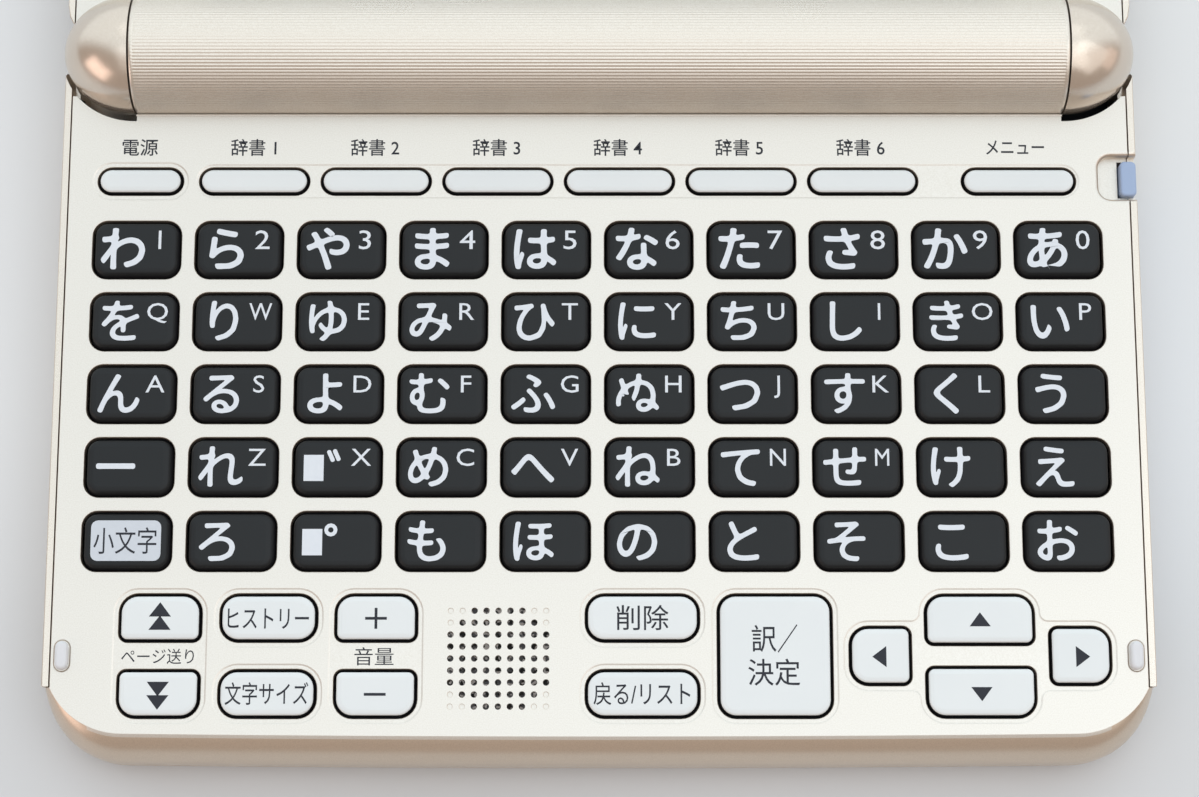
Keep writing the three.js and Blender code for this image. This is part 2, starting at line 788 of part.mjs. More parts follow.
/** The spring contact at the left end, drawn as the cone that its coil fills. */
function makeSpringContact() {
  const half = battery.contactHalfWidth;
  const plateEnd = springContactX + battery.contact;
  const tip = batteryLeftX - seatGap;
  const cone = new THREE.CylinderGeometry(battery.springTipRadius, battery.springRadius,
    tip - plateEnd + seatGap, facets.shaft);
  cone.rotateZ(-Math.PI / 2);
  cone.translate((tip + plateEnd - seatGap) / 2, 0, axisZ);
  return join([
    box(springContactX, plateEnd, -half, half, axisZ - half, axisZ + half),
    solidOf(cone),
  ]);
}

/** Plan outline of the board and the rubber mat, clear of the stylus channel and the barrel. */
function boardOutline() {
  const left = -(halfWidth - board.edge);
  const right = channelX - clearance;
  const far = -(shell.reach - board.edge - shell.wall);
  return roundedRect((left + right) / 2, (far - board.rearEdge) / 2, right - left,
    -board.rearEdge - far, allCorners(shell.corner - board.edge), arcSteps.part);
}

function makeBoard() {
  const holes = screwPlaces.map(({ x, y }) => post(board.holeRadius, x, y, bottomZ, deckZ, facets.bore));
  return cut(prism(boardOutline(), boardBottomZ, boardTopZ), ...holes);
}

/** The rubber mat under the keys, with an opening for the speaker. */
function makeMat() {
  const half = speaker.rimRadius + clearance;
  const window = box(speakerX - half, speakerX + half, speakerY - half, speakerY + half,
    bottomZ, deckZ);
  const cup = box(notchX - notch.wall - clearance, beyond,
    notchY - notch.halfLength - notch.wall - clearance, overrun, bottomZ, deckZ);
  return cut(prism(boardOutline(), matBottomZ, matTopZ), window, cup);
}

function makeSpeaker() {
  const top = deckUnderZ - clearance;
  const rimBottom = top - speaker.rim;
  const magnetBottom = rimBottom - speaker.magnet;
  return join([
    post(speaker.rimRadius, speakerX, speakerY, rimBottom, top, facets.bay),
    post(speaker.magnetRadius, speakerX, speakerY, magnetBottom, rimBottom + seatGap, facets.shaft),
  ]);
}

/** The stylus: a slim bar in the side groove, with an upright head in the notch. */
function makeStylus() {
  const x1 = halfWidth;
  const middle = (stylusX + x1) / 2;
  const shaftFront = stylusFront + stylus.tipLength;
  const tipHalf = stylus.tipWidth / 2;
  const outline = [
    [stylusX, shaftFront], [middle - tipHalf, stylusFront], [middle + tipHalf, stylusFront],
    [x1, shaftFront], [x1, stylusRear], [stylusX, stylusRear],
  ].map(([x, y]) => new THREE.Vector2(x, y));
  const head = roundedRect(middle, notchY, stylus.width, 2 * stylus.headHalfLength,
    allCorners(stylus.headCorner), arcSteps.key);
  return join([
    prism(outline, stylusBottomZ, stylusTopZ),
    prism(head, stylusBottomZ, deckZ - stylus.headBelowDeck),
  ]);
}

function makeBumper(side) {
  const radii = allCorners(bumper.width / 2 - seatGap);
  const points = roundedRect(side * (halfWidth - bumper.fromSide), rowY(bumperRowShare),
    bumper.width, bumper.barLength, radii, arcSteps.part);
  return prism(points, deckZ + seatGap, deckZ + bumper.height);
}

function makeFoot(x, y) {
  const radii = allCorners(foot.width / 2 - seatGap);
  return prism(roundedRect(x, y, foot.barLength, foot.width, radii, arcSteps.part), 0, bottomZ - seatGap);
}

function makeScrew({ x, y }) {
  const seat = floorZ - seatGap;
  return join([
    post(screw.headRadius, x, y, seat - screw.head, seat, facets.shaft),
    post(screw.shankRadius, x, y, seat - seatGap, seat + screw.shank, facets.bore),
  ]);
}

// Lid

const lidNearRadius = hinge.barrelRadius + hinge.lidGap;
const lidWallRadius = lidNearRadius + lid.floor;
const windowHalfWidth = halfWidth - display.sideMargin;
const windowDepth = shell.reach - display.farMargin - display.nearMargin;
const displayY = display.nearMargin + windowDepth / 2;
const panelHalfWidth = windowHalfWidth - display.panelSideInset;
const panelDepth = windowDepth - 2 * display.panelEndInset;
const cableZ = lidFloorZ + cable.radius + 2 * clearance;
const cableTurnX = domeX + hinge.shaftInDome - hinge.shaftBore;

/** The elliptical room that a lid's plate leaves round a dome. */
function plateNotch(side, gap) {
  return domeBody(side, hinge.domeLength + gap, hinge.barrelRadius + gap);
}

/** The lid's inner frame round the display window. */
function makeLidFrame() {
  const seamZ = deckZ - rollDrop(lid) - clearance;
  const skirtZ = deckZ - lid.skirt;
  const form = halfForm(1, lid, lidOuterZ, lid.near, lid.nearCorner);
  const plateNear = lidWallRadius - shell.plate + clearance;
  const border = box(-windowHalfWidth - display.ledge, windowHalfWidth + display.ledge,
    displayY - windowDepth / 2 - display.ledge,
    displayY + windowDepth / 2 + display.ledge / 2,
    deckZ - display.frameThickness, deckUnderZ + seatGap);
  const windowWidth = 2 * windowHalfWidth;
  const recess = roundedRect(0, displayY, windowWidth + 2 * clearance,
    windowDepth + 2 * clearance, allCorners(display.corner), arcSteps.key);
  const opening = roundedRect(0, displayY, windowWidth - 2 * display.ledge,
    windowDepth - 2 * display.ledge, allCorners(display.corner), arcSteps.key);
  return cut(
    join([
      cut(
        form.intersect(plateRegion(1, 0, lid.near, seamZ)),
        plateHollow(1, lid, -overrun, lidOuterZ - overrun),
        box(-beyond, beyond, -overrun, stepY, lidOuterZ, skirtZ),
      ),
      border,
    ]),
    box(-domeX - clearance, domeX + clearance, -overrun, plateNear, lidOuterZ, deckZ + overrun),
    plateNotch(-1, hinge.plateNotchGap),
    plateNotch(1, hinge.plateNotchGap),
    prism(recess, deckZ - display.recess, deckZ + overrun),
    prism(opening, lidOuterZ, deckZ + overrun),
  );
}

/** Half of an ellipsoid that closes the hinge line at one end. */
function lidDome(side) {
  const body = domeBody(side, hinge.domeLength, hinge.barrelRadius);
  const [x0, x1] = side > 0 ? [domeX, domeX + overrun] : [-domeX - overrun, -domeX];
  return body.intersect(box(x0, x1, -overrun, overrun, axisZ - overrun, axisZ + overrun));
}

/** The lid's outer cover, with the two hinge domes moulded on. */
function makeLidCover() {
  const seamZ = deckZ - rollDrop(lid) - 2 * clearance;
  const ledgeZ = deckZ - lid.skirt - clearance;
  const form = halfForm(1, lid, lidOuterZ, lid.near, lid.nearCorner);
  const endZone = box(-beyond, beyond, stepY - clearance, beyond, lidOuterZ, deckZ + overrun);
  const nearZone = box(-domeX, domeX, -overrun, lidWallRadius - shell.plate, lidOuterZ,
    deckZ + overrun);
  const plateRoom = cut(plateRegion(1, seam, lid.near, ledgeZ), nearZone);
  const shaftEnd = domeX + hinge.shaftInDome + clearance;
  const boreRadius = hinge.shaftRadius + clearance;
  const hollow = cut(
    trayHollow(1, lidFloorZ, lidWallRadius / 2),
    bar(lidWallRadius, -domeX - lid.floor, domeX + lid.floor, facets.barrel),
    ...[-1, 1].map((side) => domeBody(side, hinge.domeLength, hinge.barrelRadius)),
    box(-domeX, domeX, -overrun, lidNearRadius * insideShare, lidOuterZ, axisZ),
  );
  const [wayX0, wayX1] = [-cableTurnX - hinge.shaftBore, -cableTurnX + hinge.shaftBore];
  const cableWay = join([
    box(wayX0, wayX1, -hinge.shaftBore, cable.turnDepth * insideShare,
      cableZ - hinge.shaftBore, axisZ + hinge.shaftBore),
    box(wayX0, wayX1, 0, lidWallRadius + lid.nearCorner, cableZ - hinge.shaftBore, deckUnderZ),
  ]);
  return cut(
    join([
      cut(
        form,
        hollow,
        plateRoom,
        plateRegion(1, seam, lid.near, seamZ).intersect(endZone),
        bar(lidNearRadius, -domeX, domeX, facets.barrel),
      ),
      lidDome(-1),
      lidDome(1),
    ]),
    bar(boreRadius, domeX - clearance, shaftEnd, facets.shaft),
    bar(boreRadius, -shaftEnd, -domeX + clearance, facets.shaft),
    cableWay,
  );
}

function makeWindow() {
  const z0 = deckZ - display.recess + seatGap;
  const points = roundedRect(0, displayY, 2 * windowHalfWidth, windowDepth,
    allCorners(display.corner), arcSteps.key);
  return prism(points, z0, z0 + display.windowThickness);
}

function makePanel() {
  const z1 = deckZ - display.frameThickness - clearance;
  return box(-panelHalfWidth, panelHalfWidth,
    displayY - panelDepth / 2, displayY + panelDepth / 2,
    z1 - display.panelThickness, z1);
}

/** A hinge shaft. The left one is bored for the cable. */
function makeShaft(side) {
  const x0 = domeX - hinge.shaftInBarrel;
  const x1 = side > 0 ? domeX + hinge.shaftInDome : cableTurnX - hinge.shaftBore - clearance;
  if (side > 0) {
    return bar(hinge.shaftRadius, x0, x1, facets.shaft);
  }
  return cut(
    bar(hinge.shaftRadius, -x1, -x0, facets.shaft),
    bar(hinge.shaftBore, -x1 - clearance, -x0 + clearance, facets.bore),
  );
}

/** The display cable, out of the barrel through the left shaft and along the lid. */
function makeCable() {
  const startX = domeX - hinge.shaftInBarrel - clearance;
  const endX = panelHalfWidth + seatGap;
  const endY = cable.endDepth;
  const corners = [
    [-startX, 0, axisZ], [-cableTurnX, 0, axisZ], [-cableTurnX, cable.turnDepth, cableZ],
    [-cableTurnX, endY, cableZ], [-endX, endY, cableZ],
  ].map(([x, y, z]) => new THREE.Vector3(x, y, z));
  const path = new THREE.CurvePath();
  let from = corners[0];
  for (let i = 1; i + 1 < corners.length; i += 1) {
    const back = corners[i - 1].clone().sub(corners[i]).setLength(cable.bend);
    const ahead = corners[i + 1].clone().sub(corners[i]).setLength(cable.bend);
    const start = corners[i].clone().add(back);
    const end = corners[i].clone().add(ahead);
    path.add(new THREE.LineCurve3(from, start));
    path.add(new THREE.QuadraticBezierCurve3(start, corners[i], end));
    from = end;
  }
  path.add(new THREE.LineCurve3(from, corners[corners.length - 1]));
  const section = new THREE.Shape(arc(0, 0, cable.radius, 0, cableFacets.sectionTurn,
    cableFacets.section));
  const geometry = new THREE.ExtrudeGeometry(section, { steps: cableFacets.length, extrudePath: path });
  return solidOf(geometry);
}

// Finishes

const finishes = {
  champagne: { color: 0xd9d5c8, roughness: 0.45, metalness: 0.4 },
  gold: { color: 0xb5a490, roughness: 0.35, metalness: 0.6 },
  charcoal: { color: 0x24272b, roughness: 0.55, metalness: 0 },
  pale: { color: 0xd8dde4, roughness: 0.35, metalness: 0 },
  blue: { color: 0x8fa3cf, roughness: 0.4, metalness: 0 },
  board: { color: 0x1f5a3a, roughness: 0.6, metalness: 0.1 },
  rubber: { color: 0x2b2b2d, roughness: 0.9, metalness: 0 },
  clear: { color: 0xcfcbd6, roughness: 0.3, metalness: 0 },
  steel: { color: 0xb8babd, roughness: 0.3, metalness: 1 },
  battery: { color: 0x4a5a78, roughness: 0.35, metalness: 0.3 },
  glass: { color: 0x1a1d1f, roughness: 0.08, metalness: 0 },
  panel: { color: 0x8f978c, roughness: 0.3, metalness: 0 },
  cable: { color: 0x6b4a2c, roughness: 0.5, metalness: 0 },
};

const dictionary = new THREE.Group();

/** Adds one named piece in its finish. */
function addPiece(name, solid, finish) {
  const material = new THREE.MeshStandardMaterial(finishes[finish]);
  const mesh = new THREE.Mesh(geometryOf(solid), material);
  mesh.name = name;
  dictionary.add(mesh);
}

addPiece('base_bottom_case', makeTray(), 'gold');
addPiece('base_deck', makeDeck(), 'champagne');
addPiece('battery_door', makeDoor(), 'gold');
addPiece('hinge_barrel', makeBarrel(), 'gold');
addPiece('battery_left', makeBattery(batteryLeftX), 'battery');
addPiece('battery_right', makeBattery(batteryRightX), 'battery');
addPiece('battery_plate_contact', makePlateContact(), 'steel');
addPiece('battery_spring_contact', makeSpringContact(), 'steel');
addPiece('main_circuit_board', makeBoard(), 'board');
addPiece('key_rubber_mat', makeMat(), 'rubber');
addPiece('speaker', makeSpeaker(), 'steel');
addPiece('stylus', makeStylus(), 'blue');
addPiece('bumper_left', makeBumper(-1), 'clear');
addPiece('bumper_right', makeBumper(1), 'clear');

const footX = halfWidth * foot.sideShare;
const footRows = { front: -shell.reach * foot.frontShare, rear: foot.rear };
for (const [row, y] of Object.entries(footRows)) {
  addPiece(`foot_${row}_left`, makeFoot(-footX, y), 'rubber');
  addPiece(`foot_${row}_right`, makeFoot(footX, y), 'rubber');
}

screwPlaces.forEach((place, i) => addPiece(`case_screw_${i + 1}`, makeScrew(place), 'steel'));

addPiece('lid_back_cover', makeLidCover(), 'gold');
addPiece('lid_inner_frame', makeLidFrame(), 'champagne');
addPiece('display_window', makeWindow(), 'glass');
addPiece('display_panel', makePanel(), 'panel');
addPiece('hinge_shaft_left', makeShaft(-1), 'steel');
addPiece('hinge_shaft_right', makeShaft(1), 'steel');
addPiece('display_cable', makeCable(), 'cable');

[...pills, ...lowerKeys].forEach((key) => addPiece(key.name, paleKey(key), 'pale'));

for (let column = 0; column < kanaColumns; column += 1) {
  addPiece(`kana_keys_column_${column + 1}`, kanaStrip(column), 'charcoal');
}

export default dictionary;
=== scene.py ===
"""An electronic dictionary with a hinged lid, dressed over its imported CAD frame.

Plan figures and bodies are worked out in millimetres and written in metres. +X is to the right, +Y
to the rear and +Z up. The keyboard half lies towards -Y and the open lid towards +Y.
"""

import logging
import math
from dataclasses import dataclass, field, replace
from enum import Enum
from typing import Callable, Mapping, Sequence

import bmesh
import bpy
from mathutils import Matrix, Vector


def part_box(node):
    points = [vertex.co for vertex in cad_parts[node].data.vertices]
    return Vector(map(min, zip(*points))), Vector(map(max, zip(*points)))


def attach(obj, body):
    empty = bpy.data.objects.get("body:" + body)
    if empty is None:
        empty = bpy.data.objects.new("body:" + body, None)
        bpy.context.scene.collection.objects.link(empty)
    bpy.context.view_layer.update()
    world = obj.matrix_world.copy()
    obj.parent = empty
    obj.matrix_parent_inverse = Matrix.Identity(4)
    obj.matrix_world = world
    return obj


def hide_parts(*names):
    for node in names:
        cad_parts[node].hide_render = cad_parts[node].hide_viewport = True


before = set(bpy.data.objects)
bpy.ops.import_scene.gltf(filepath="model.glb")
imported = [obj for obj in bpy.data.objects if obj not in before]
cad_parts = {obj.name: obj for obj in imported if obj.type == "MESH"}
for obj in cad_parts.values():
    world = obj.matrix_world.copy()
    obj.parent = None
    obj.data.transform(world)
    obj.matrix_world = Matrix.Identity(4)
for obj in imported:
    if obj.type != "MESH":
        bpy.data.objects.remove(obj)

log = logging.getLogger("dictionary")

MM = 0.001
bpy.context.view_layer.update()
BEYOND = 200.0          # how far a cut runs past the whole part
CLEAR = 30.0            # and past the piece that it cuts


# Finishes


def linear(colour: str) -> tuple[float, float, float, float]:
    """Turns a colour into the renderer's values.

    Args:
        colour: an sRGB colour as six hex digits.

    Returns:
        Red, green and blue as linear values, and an alpha of 1.
    """
    channels = (int(colour[i:i + 2], 16) / 255 for i in (1, 3, 5))
    turned = [c / 12.92 if c <= 0.04045 else ((c + 0.055) / 1.055) ** 2.4 for c in channels]
    return (*turned, 1.0)


def add_node(tree: bpy.types.NodeTree, kind: str,
             inputs: Mapping[str | int, object] | None = None, **settings: object) -> bpy.types.Node:
    """Adds a node, with its settings, values and links.

    Args:
        tree: the node tree that gets it.
        kind: the node's type.
        inputs: a value, or a socket to link from, for each input by its name or number.
        settings: the node's own properties.

    Returns:
        The new node.
    """
    node = tree.nodes.new(kind)
    for name, value in settings.items():
        setattr(node, name, value)
    for name, value in (inputs or {}).items():
        if isinstance(value, bpy.types.NodeSocket):
            tree.links.new(value, node.inputs[name])
        else:
            node.inputs[name].default_value = value
    return node


def per_metre(size: float) -> float:
    """How often a pattern of that size in millimetres repeats in a metre."""
    return 1.0 / (size * MM)


@dataclass(frozen=True)
class Finish:
    """What every finish shares: its material's name and the record's slot."""

    name: str
    slot: str

    def material(self) -> bpy.types.Material:
        """The material, made when it is first asked for.

        Returns:
            The one material of this finish.
        """
        made = bpy.data.materials.get(self.name)
        if made is None:
            made = bpy.data.materials.new(self.name)
            made.use_nodes = True
            tree = made.node_tree
            tree.nodes.clear()
            shader = add_node(tree, "ShaderNodeBsdfPrincipled")
            add_node(tree, "ShaderNodeOutputMaterial", {"Surface": shader.outputs["BSDF"]})
            self.dress(tree, shader)
        return made

    def dress(self, tree: bpy.types.NodeTree, shader: bpy.types.Node) -> None:
        """Sets the shader and links its patterns.

        Args:
            tree: the material's node tree.
            shader: its surface shader.
        """
        raise NotImplementedError

    def blend(self, tree: bpy.types.NodeTree, factor: bpy.types.NodeSocket,
              low: object, high: object) -> bpy.types.NodeSocket:
        """Mixes two colours by a pattern.

        Args:
            tree: the material's node tree.
            factor: the pattern, from 0 to 1.
            low: the colour or socket where the pattern is 0.
            high: the colour or socket where it is 1.

        Returns:
            The socket that carries the mixed colour.
        """
        mixed = add_node(tree, "ShaderNodeMix", {0: factor, 6: low, 7: high}, data_type="RGBA")
        return mixed.outputs[2]


@dataclass(frozen=True)
class SatinPaint(Finish):
    """Metallic lacquer sprayed on moulded ABS.

    Fine metal flakes under a satin clear coat give a soft wide reflection that turns from bright to
    tan as the surface tips, with a very slight orange peel. The flakes are some 0.03 mm, which is
    too fine to show, so they are drawn a few times coarser.
    """

    colour: str
    flake: str
    metallic: float
    roughness: float
    flake_size: float = 0.16
    peel_size: float = 1.1

    def dress(self, tree: bpy.types.NodeTree, shader: bpy.types.Node) -> None:
        """Links flakes to the colour and roughness, and orange peel to the bump."""
        place = add_node(tree, "ShaderNodeTexCoord").outputs["Object"]
        flakes = add_node(tree, "ShaderNodeTexNoise", {
            "Vector": place, "Scale": per_metre(self.flake_size), "Detail": 2.0, "Roughness": 0.7})
        cloud = add_node(tree, "ShaderNodeTexNoise", {
            "Vector": place, "Scale": per_metre(22.0), "Detail": 1.0})
        spread = add_node(tree, "ShaderNodeMapRange", {
            "Value": flakes.outputs[0], "From Min": 0.35, "From Max": 0.7})
        colour = self.blend(tree, spread.outputs[0], linear(self.colour), linear(self.flake))
        gloss = add_node(tree, "ShaderNodeMapRange", {
            "Value": cloud.outputs[0], "To Min": self.roughness - 0.02, "To Max": self.roughness + 0.02})
        peel = add_node(tree, "ShaderNodeTexNoise", {
            "Vector": place, "Scale": per_metre(self.peel_size), "Detail": 1.0})
        bump = add_node(tree, "ShaderNodeBump", {
            "Height": peel.outputs[0], "Strength": 0.04, "Distance": 0.02 * MM})
        shader.inputs["Metallic"].default_value = self.metallic
        tree.links.new(colour, shader.inputs["Base Color"])
        tree.links.new(gloss.outputs[0], shader.inputs["Roughness"])
        tree.links.new(bump.outputs[0], shader.inputs["Normal"])


@dataclass(frozen=True)
class MouldedPlastic(Finish):
    """ABS moulded in a spark-eroded tool.

    The tool leaves an even fine grain of about 0.05 mm, drawn coarser, that turns the gloss into a
    soft sheen, and the resin's colour varies very slightly across the piece.
    """

    colour: str
    shade: str
    roughness: float
    grain: float = 0.12
    depth: float = 0.006
    ior: float = 1.52

    def dress(self, tree: bpy.types.NodeTree, shader: bpy.types.Node) -> None:
        """Links the grain to the bump and roughness, and a slow drift to the colour."""
        place = add_node(tree, "ShaderNodeTexCoord").outputs["Object"]
        drift = add_node(tree, "ShaderNodeTexNoise", {
            "Vector": place, "Scale": per_metre(9.0), "Detail": 2.0})
        grain = add_node(tree, "ShaderNodeTexNoise", {
            "Vector": place, "Scale": per_metre(self.grain), "Detail": 2.0, "Roughness": 0.6})
        colour = self.blend(tree, drift.outputs[0], linear(self.colour), linear(self.shade))
        gloss = add_node(tree, "ShaderNodeMapRange", {
            "Value": grain.outputs[0], "To Min": self.roughness - 0.05, "To Max": self.roughness + 0.05})
        bump = add_node(tree, "ShaderNodeBump", {
            "Height": grain.outputs[0], "Strength": 0.35, "Distance": self.depth * MM})
        shader.inputs["IOR"].default_value = self.ior
        tree.links.new(colour, shader.inputs["Base Color"])
        tree.links.new(gloss.outputs[0], shader.inputs["Roughness"])
        tree.links.new(bump.outputs[0], shader.inputs["Normal"])


@dataclass(frozen=True)
class PrintedInk(Finish):
    """Pad-printed ink, a flat matte film a few hundredths of a millimetre thick.

    It covers evenly, with slightly thinner patches that let a little of the key through.
    """

    colour: str
    thin: str
    roughness: float = 0.5
    ior: float = 1.38

    def dress(self, tree: bpy.types.NodeTree, shader: bpy.types.Node) -> None:
        """Links the film's thin patches to the colour."""
        place = add_node(tree, "ShaderNodeTexCoord").outputs["Object"]
        patches = add_node(tree, "ShaderNodeTexNoise", {
            "Vector": place, "Scale": per_metre(0.7), "Detail": 2.0})
        colour = self.blend(tree, patches.outputs[0], linear(self.colour), linear(self.thin))
        shader.inputs["Roughness"].default_value = self.roughness
        shader.inputs["IOR"].default_value = self.ior
        tree.links.new(colour, shader.inputs["Base Color"])


@dataclass(frozen=True)
class Rubber(Finish):
    """Silicone or styrene rubber, moulded dull, with dust-pale high spots."""

    colour: str
    dust: str
    roughness: float = 0.85

    def dress(self, tree: bpy.types.NodeTree, shader: bpy.types.Node) -> None:
        """Links the dust to the colour and a fine grain to the bump."""
        place = add_node(tree, "ShaderNodeTexCoord").outputs["Object"]
        grain = add_node(tree, "ShaderNodeTexNoise", {
            "Vector": place, "Scale": per_metre(0.25), "Detail": 3.0})
        colour = self.blend(tree, grain.outputs[0], linear(self.colour), linear(self.dust))
        bump = add_node(tree, "ShaderNodeBump", {
            "Height": grain.outputs[0], "Strength": 0.4, "Distance": 0.02 * MM})
        shader.inputs["Roughness"].default_value = self.roughness
        shader.inputs["IOR"].default_value = 1.45
        tree.links.new(colour, shader.inputs["Base Color"])
        tree.links.new(bump.outputs[0], shader.inputs["Normal"])


@dataclass(frozen=True)
class ClearPlastic(Finish):
    """Moulded acrylic or urethane that light passes into.

    It is clear or milky, smooth, and a little uneven inside.
    """

    colour: str
    transmission: float
    roughness: float
    ior: float = 1.49

    def dress(self, tree: bpy.types.NodeTree, shader: bpy.types.Node) -> None:
        """Links a faint unevenness to the roughness."""
        place = add_node(tree, "ShaderNodeTexCoord").outputs["Object"]
        haze = add_node(tree, "ShaderNodeTexNoise", {
            "Vector": place, "Scale": per_metre(3.0), "Detail": 2.0})
        gloss = add_node(tree, "ShaderNodeMapRange", {
            "Value": haze.outputs[0], "To Min": self.roughness * 0.8, "To Max": self.roughness * 1.2})
        shader.inputs["Base Color"].default_value = linear(self.colour)
        shader.inputs["Transmission Weight"].default_value = self.transmission
        shader.inputs["IOR"].default_value = self.ior
        tree.links.new(gloss.outputs[0], shader.inputs["Roughness"])


@dataclass(frozen=True)
class TurnedSteel(Finish):
    """Nickel-plated steel, drawn or turned, with fine lines round or along it."""

    colour: str
    shade: str
    roughness: float = 0.3
    line: float = 0.15

    def dress(self, tree: bpy.types.NodeTree, shader: bpy.types.Node) -> None:
        """Links fine drawn lines to the colour and roughness."""
        place = add_node(tree, "ShaderNodeTexCoord").outputs["Object"]
        stretched = add_node(tree, "ShaderNodeMapping", {"Vector": place, "Scale": (0.05, 1.0, 1.0)})
        lines = add_node(tree, "ShaderNodeTexNoise", {
            "Vector": stretched.outputs[0], "Scale": per_metre(self.line), "Detail": 3.0})
        colour = self.blend(tree, lines.outputs[0], linear(self.colour), linear(self.shade))
        gloss = add_node(tree, "ShaderNodeMapRange", {
            "Value": lines.outputs[0], "To Min": self.roughness - 0.08, "To Max": self.roughness + 0.08})
        shader.inputs["Metallic"].default_value = 1.0
        tree.links.new(colour, shader.inputs["Base Color"])
        tree.links.new(gloss.outputs[0], shader.inputs["Roughness"])


@dataclass(frozen=True)
class SpeakerCloth(Finish):
    """Black woven cloth over a pale paper cone, seen through small holes.

    The weave lets specks of the cone show, so some holes look black and others grey, with painted
    glints.
    """

    cloth: str
    cone: str
    painted_glint: str
    speck: float = 0.75

    def dress(self, tree: bpy.types.NodeTree, shader: bpy.types.Node) -> None:
        """Links grey specks and painted glints to the colour."""
        place = add_node(tree, "ShaderNodeTexCoord").outputs["Object"]
        patches = add_node(tree, "ShaderNodeTexNoise", {
            "Vector": place, "Scale": per_metre(self.speck), "Detail": 1.0})
        grey = add_node(tree, "ShaderNodeMapRange", {
            "Value": patches.outputs[0], "From Min": 0.45, "From Max": 0.54})
        painted_glints = add_node(tree, "ShaderNodeTexNoise", {
            "Vector": place, "Scale": per_metre(0.42), "Detail": 0.0})
        # Bright specks over the cloth and cone: painted glints.
        bright = add_node(tree, "ShaderNodeMapRange", {
            "Value": painted_glints.outputs[0], "From Min": 0.57, "From Max": 0.63})
        base = self.blend(tree, grey.outputs[0], linear(self.cloth), linear(self.cone))
        colour = self.blend(tree, bright.outputs[0], base, linear(self.painted_glint))
        shader.inputs["Roughness"].default_value = 0.6
        tree.links.new(colour, shader.inputs["Base Color"])


@dataclass(frozen=True)
class DisplayFilm(Finish):
    """The polariser film of a liquid crystal panel, grey-green, with its fine grid of dots.

    The dots are about 0.2 mm apart.
    """

    colour: str
    line: str
    pitch: float = 0.4

    def dress(self, tree: bpy.types.NodeTree, shader: bpy.types.Node) -> None:
        """Links the grid of dots to the colour."""
        place = add_node(tree, "ShaderNodeTexCoord").outputs["Object"]
        dots = add_node(tree, "ShaderNodeTexBrick", {
            "Vector": place, "Scale": per_metre(self.pitch), "Color1": linear(self.colour),
            "Color2": linear(self.colour), "Mortar": linear(self.line), "Mortar Size": 0.06,
            "Brick Width": 1.0, "Row Height": 1.0}, offset=0.0)
        shader.inputs["Roughness"].default_value = 0.3
        tree.links.new(dots.outputs[0], shader.inputs["Base Color"])


@dataclass(frozen=True)
class SolderMask(Finish):
    """A glass-fibre circuit board under green solder mask, with the weave and tracks below it."""

    colour: str
    track: str

    def dress(self, tree: bpy.types.NodeTree, shader: bpy.types.Node) -> None:
        """Links blocks of track to the colour."""
        place = add_node(tree, "ShaderNodeTexCoord").outputs["Object"]
        tracks = add_node(tree, "ShaderNodeTexVoronoi", {
            "Vector": place, "Scale": per_metre(4.0)}, distance="CHEBYCHEV")
        step = add_node(tree, "ShaderNodeMapRange", {
            "Value": tracks.outputs["Distance"], "From Min": 0.3, "From Max": 0.34})
        colour = self.blend(tree, step.outputs[0], linear(self.colour), linear(self.track))
        shader.inputs["Roughness"].default_value = 0.4
        tree.links.new(colour, shader.inputs["Base Color"])


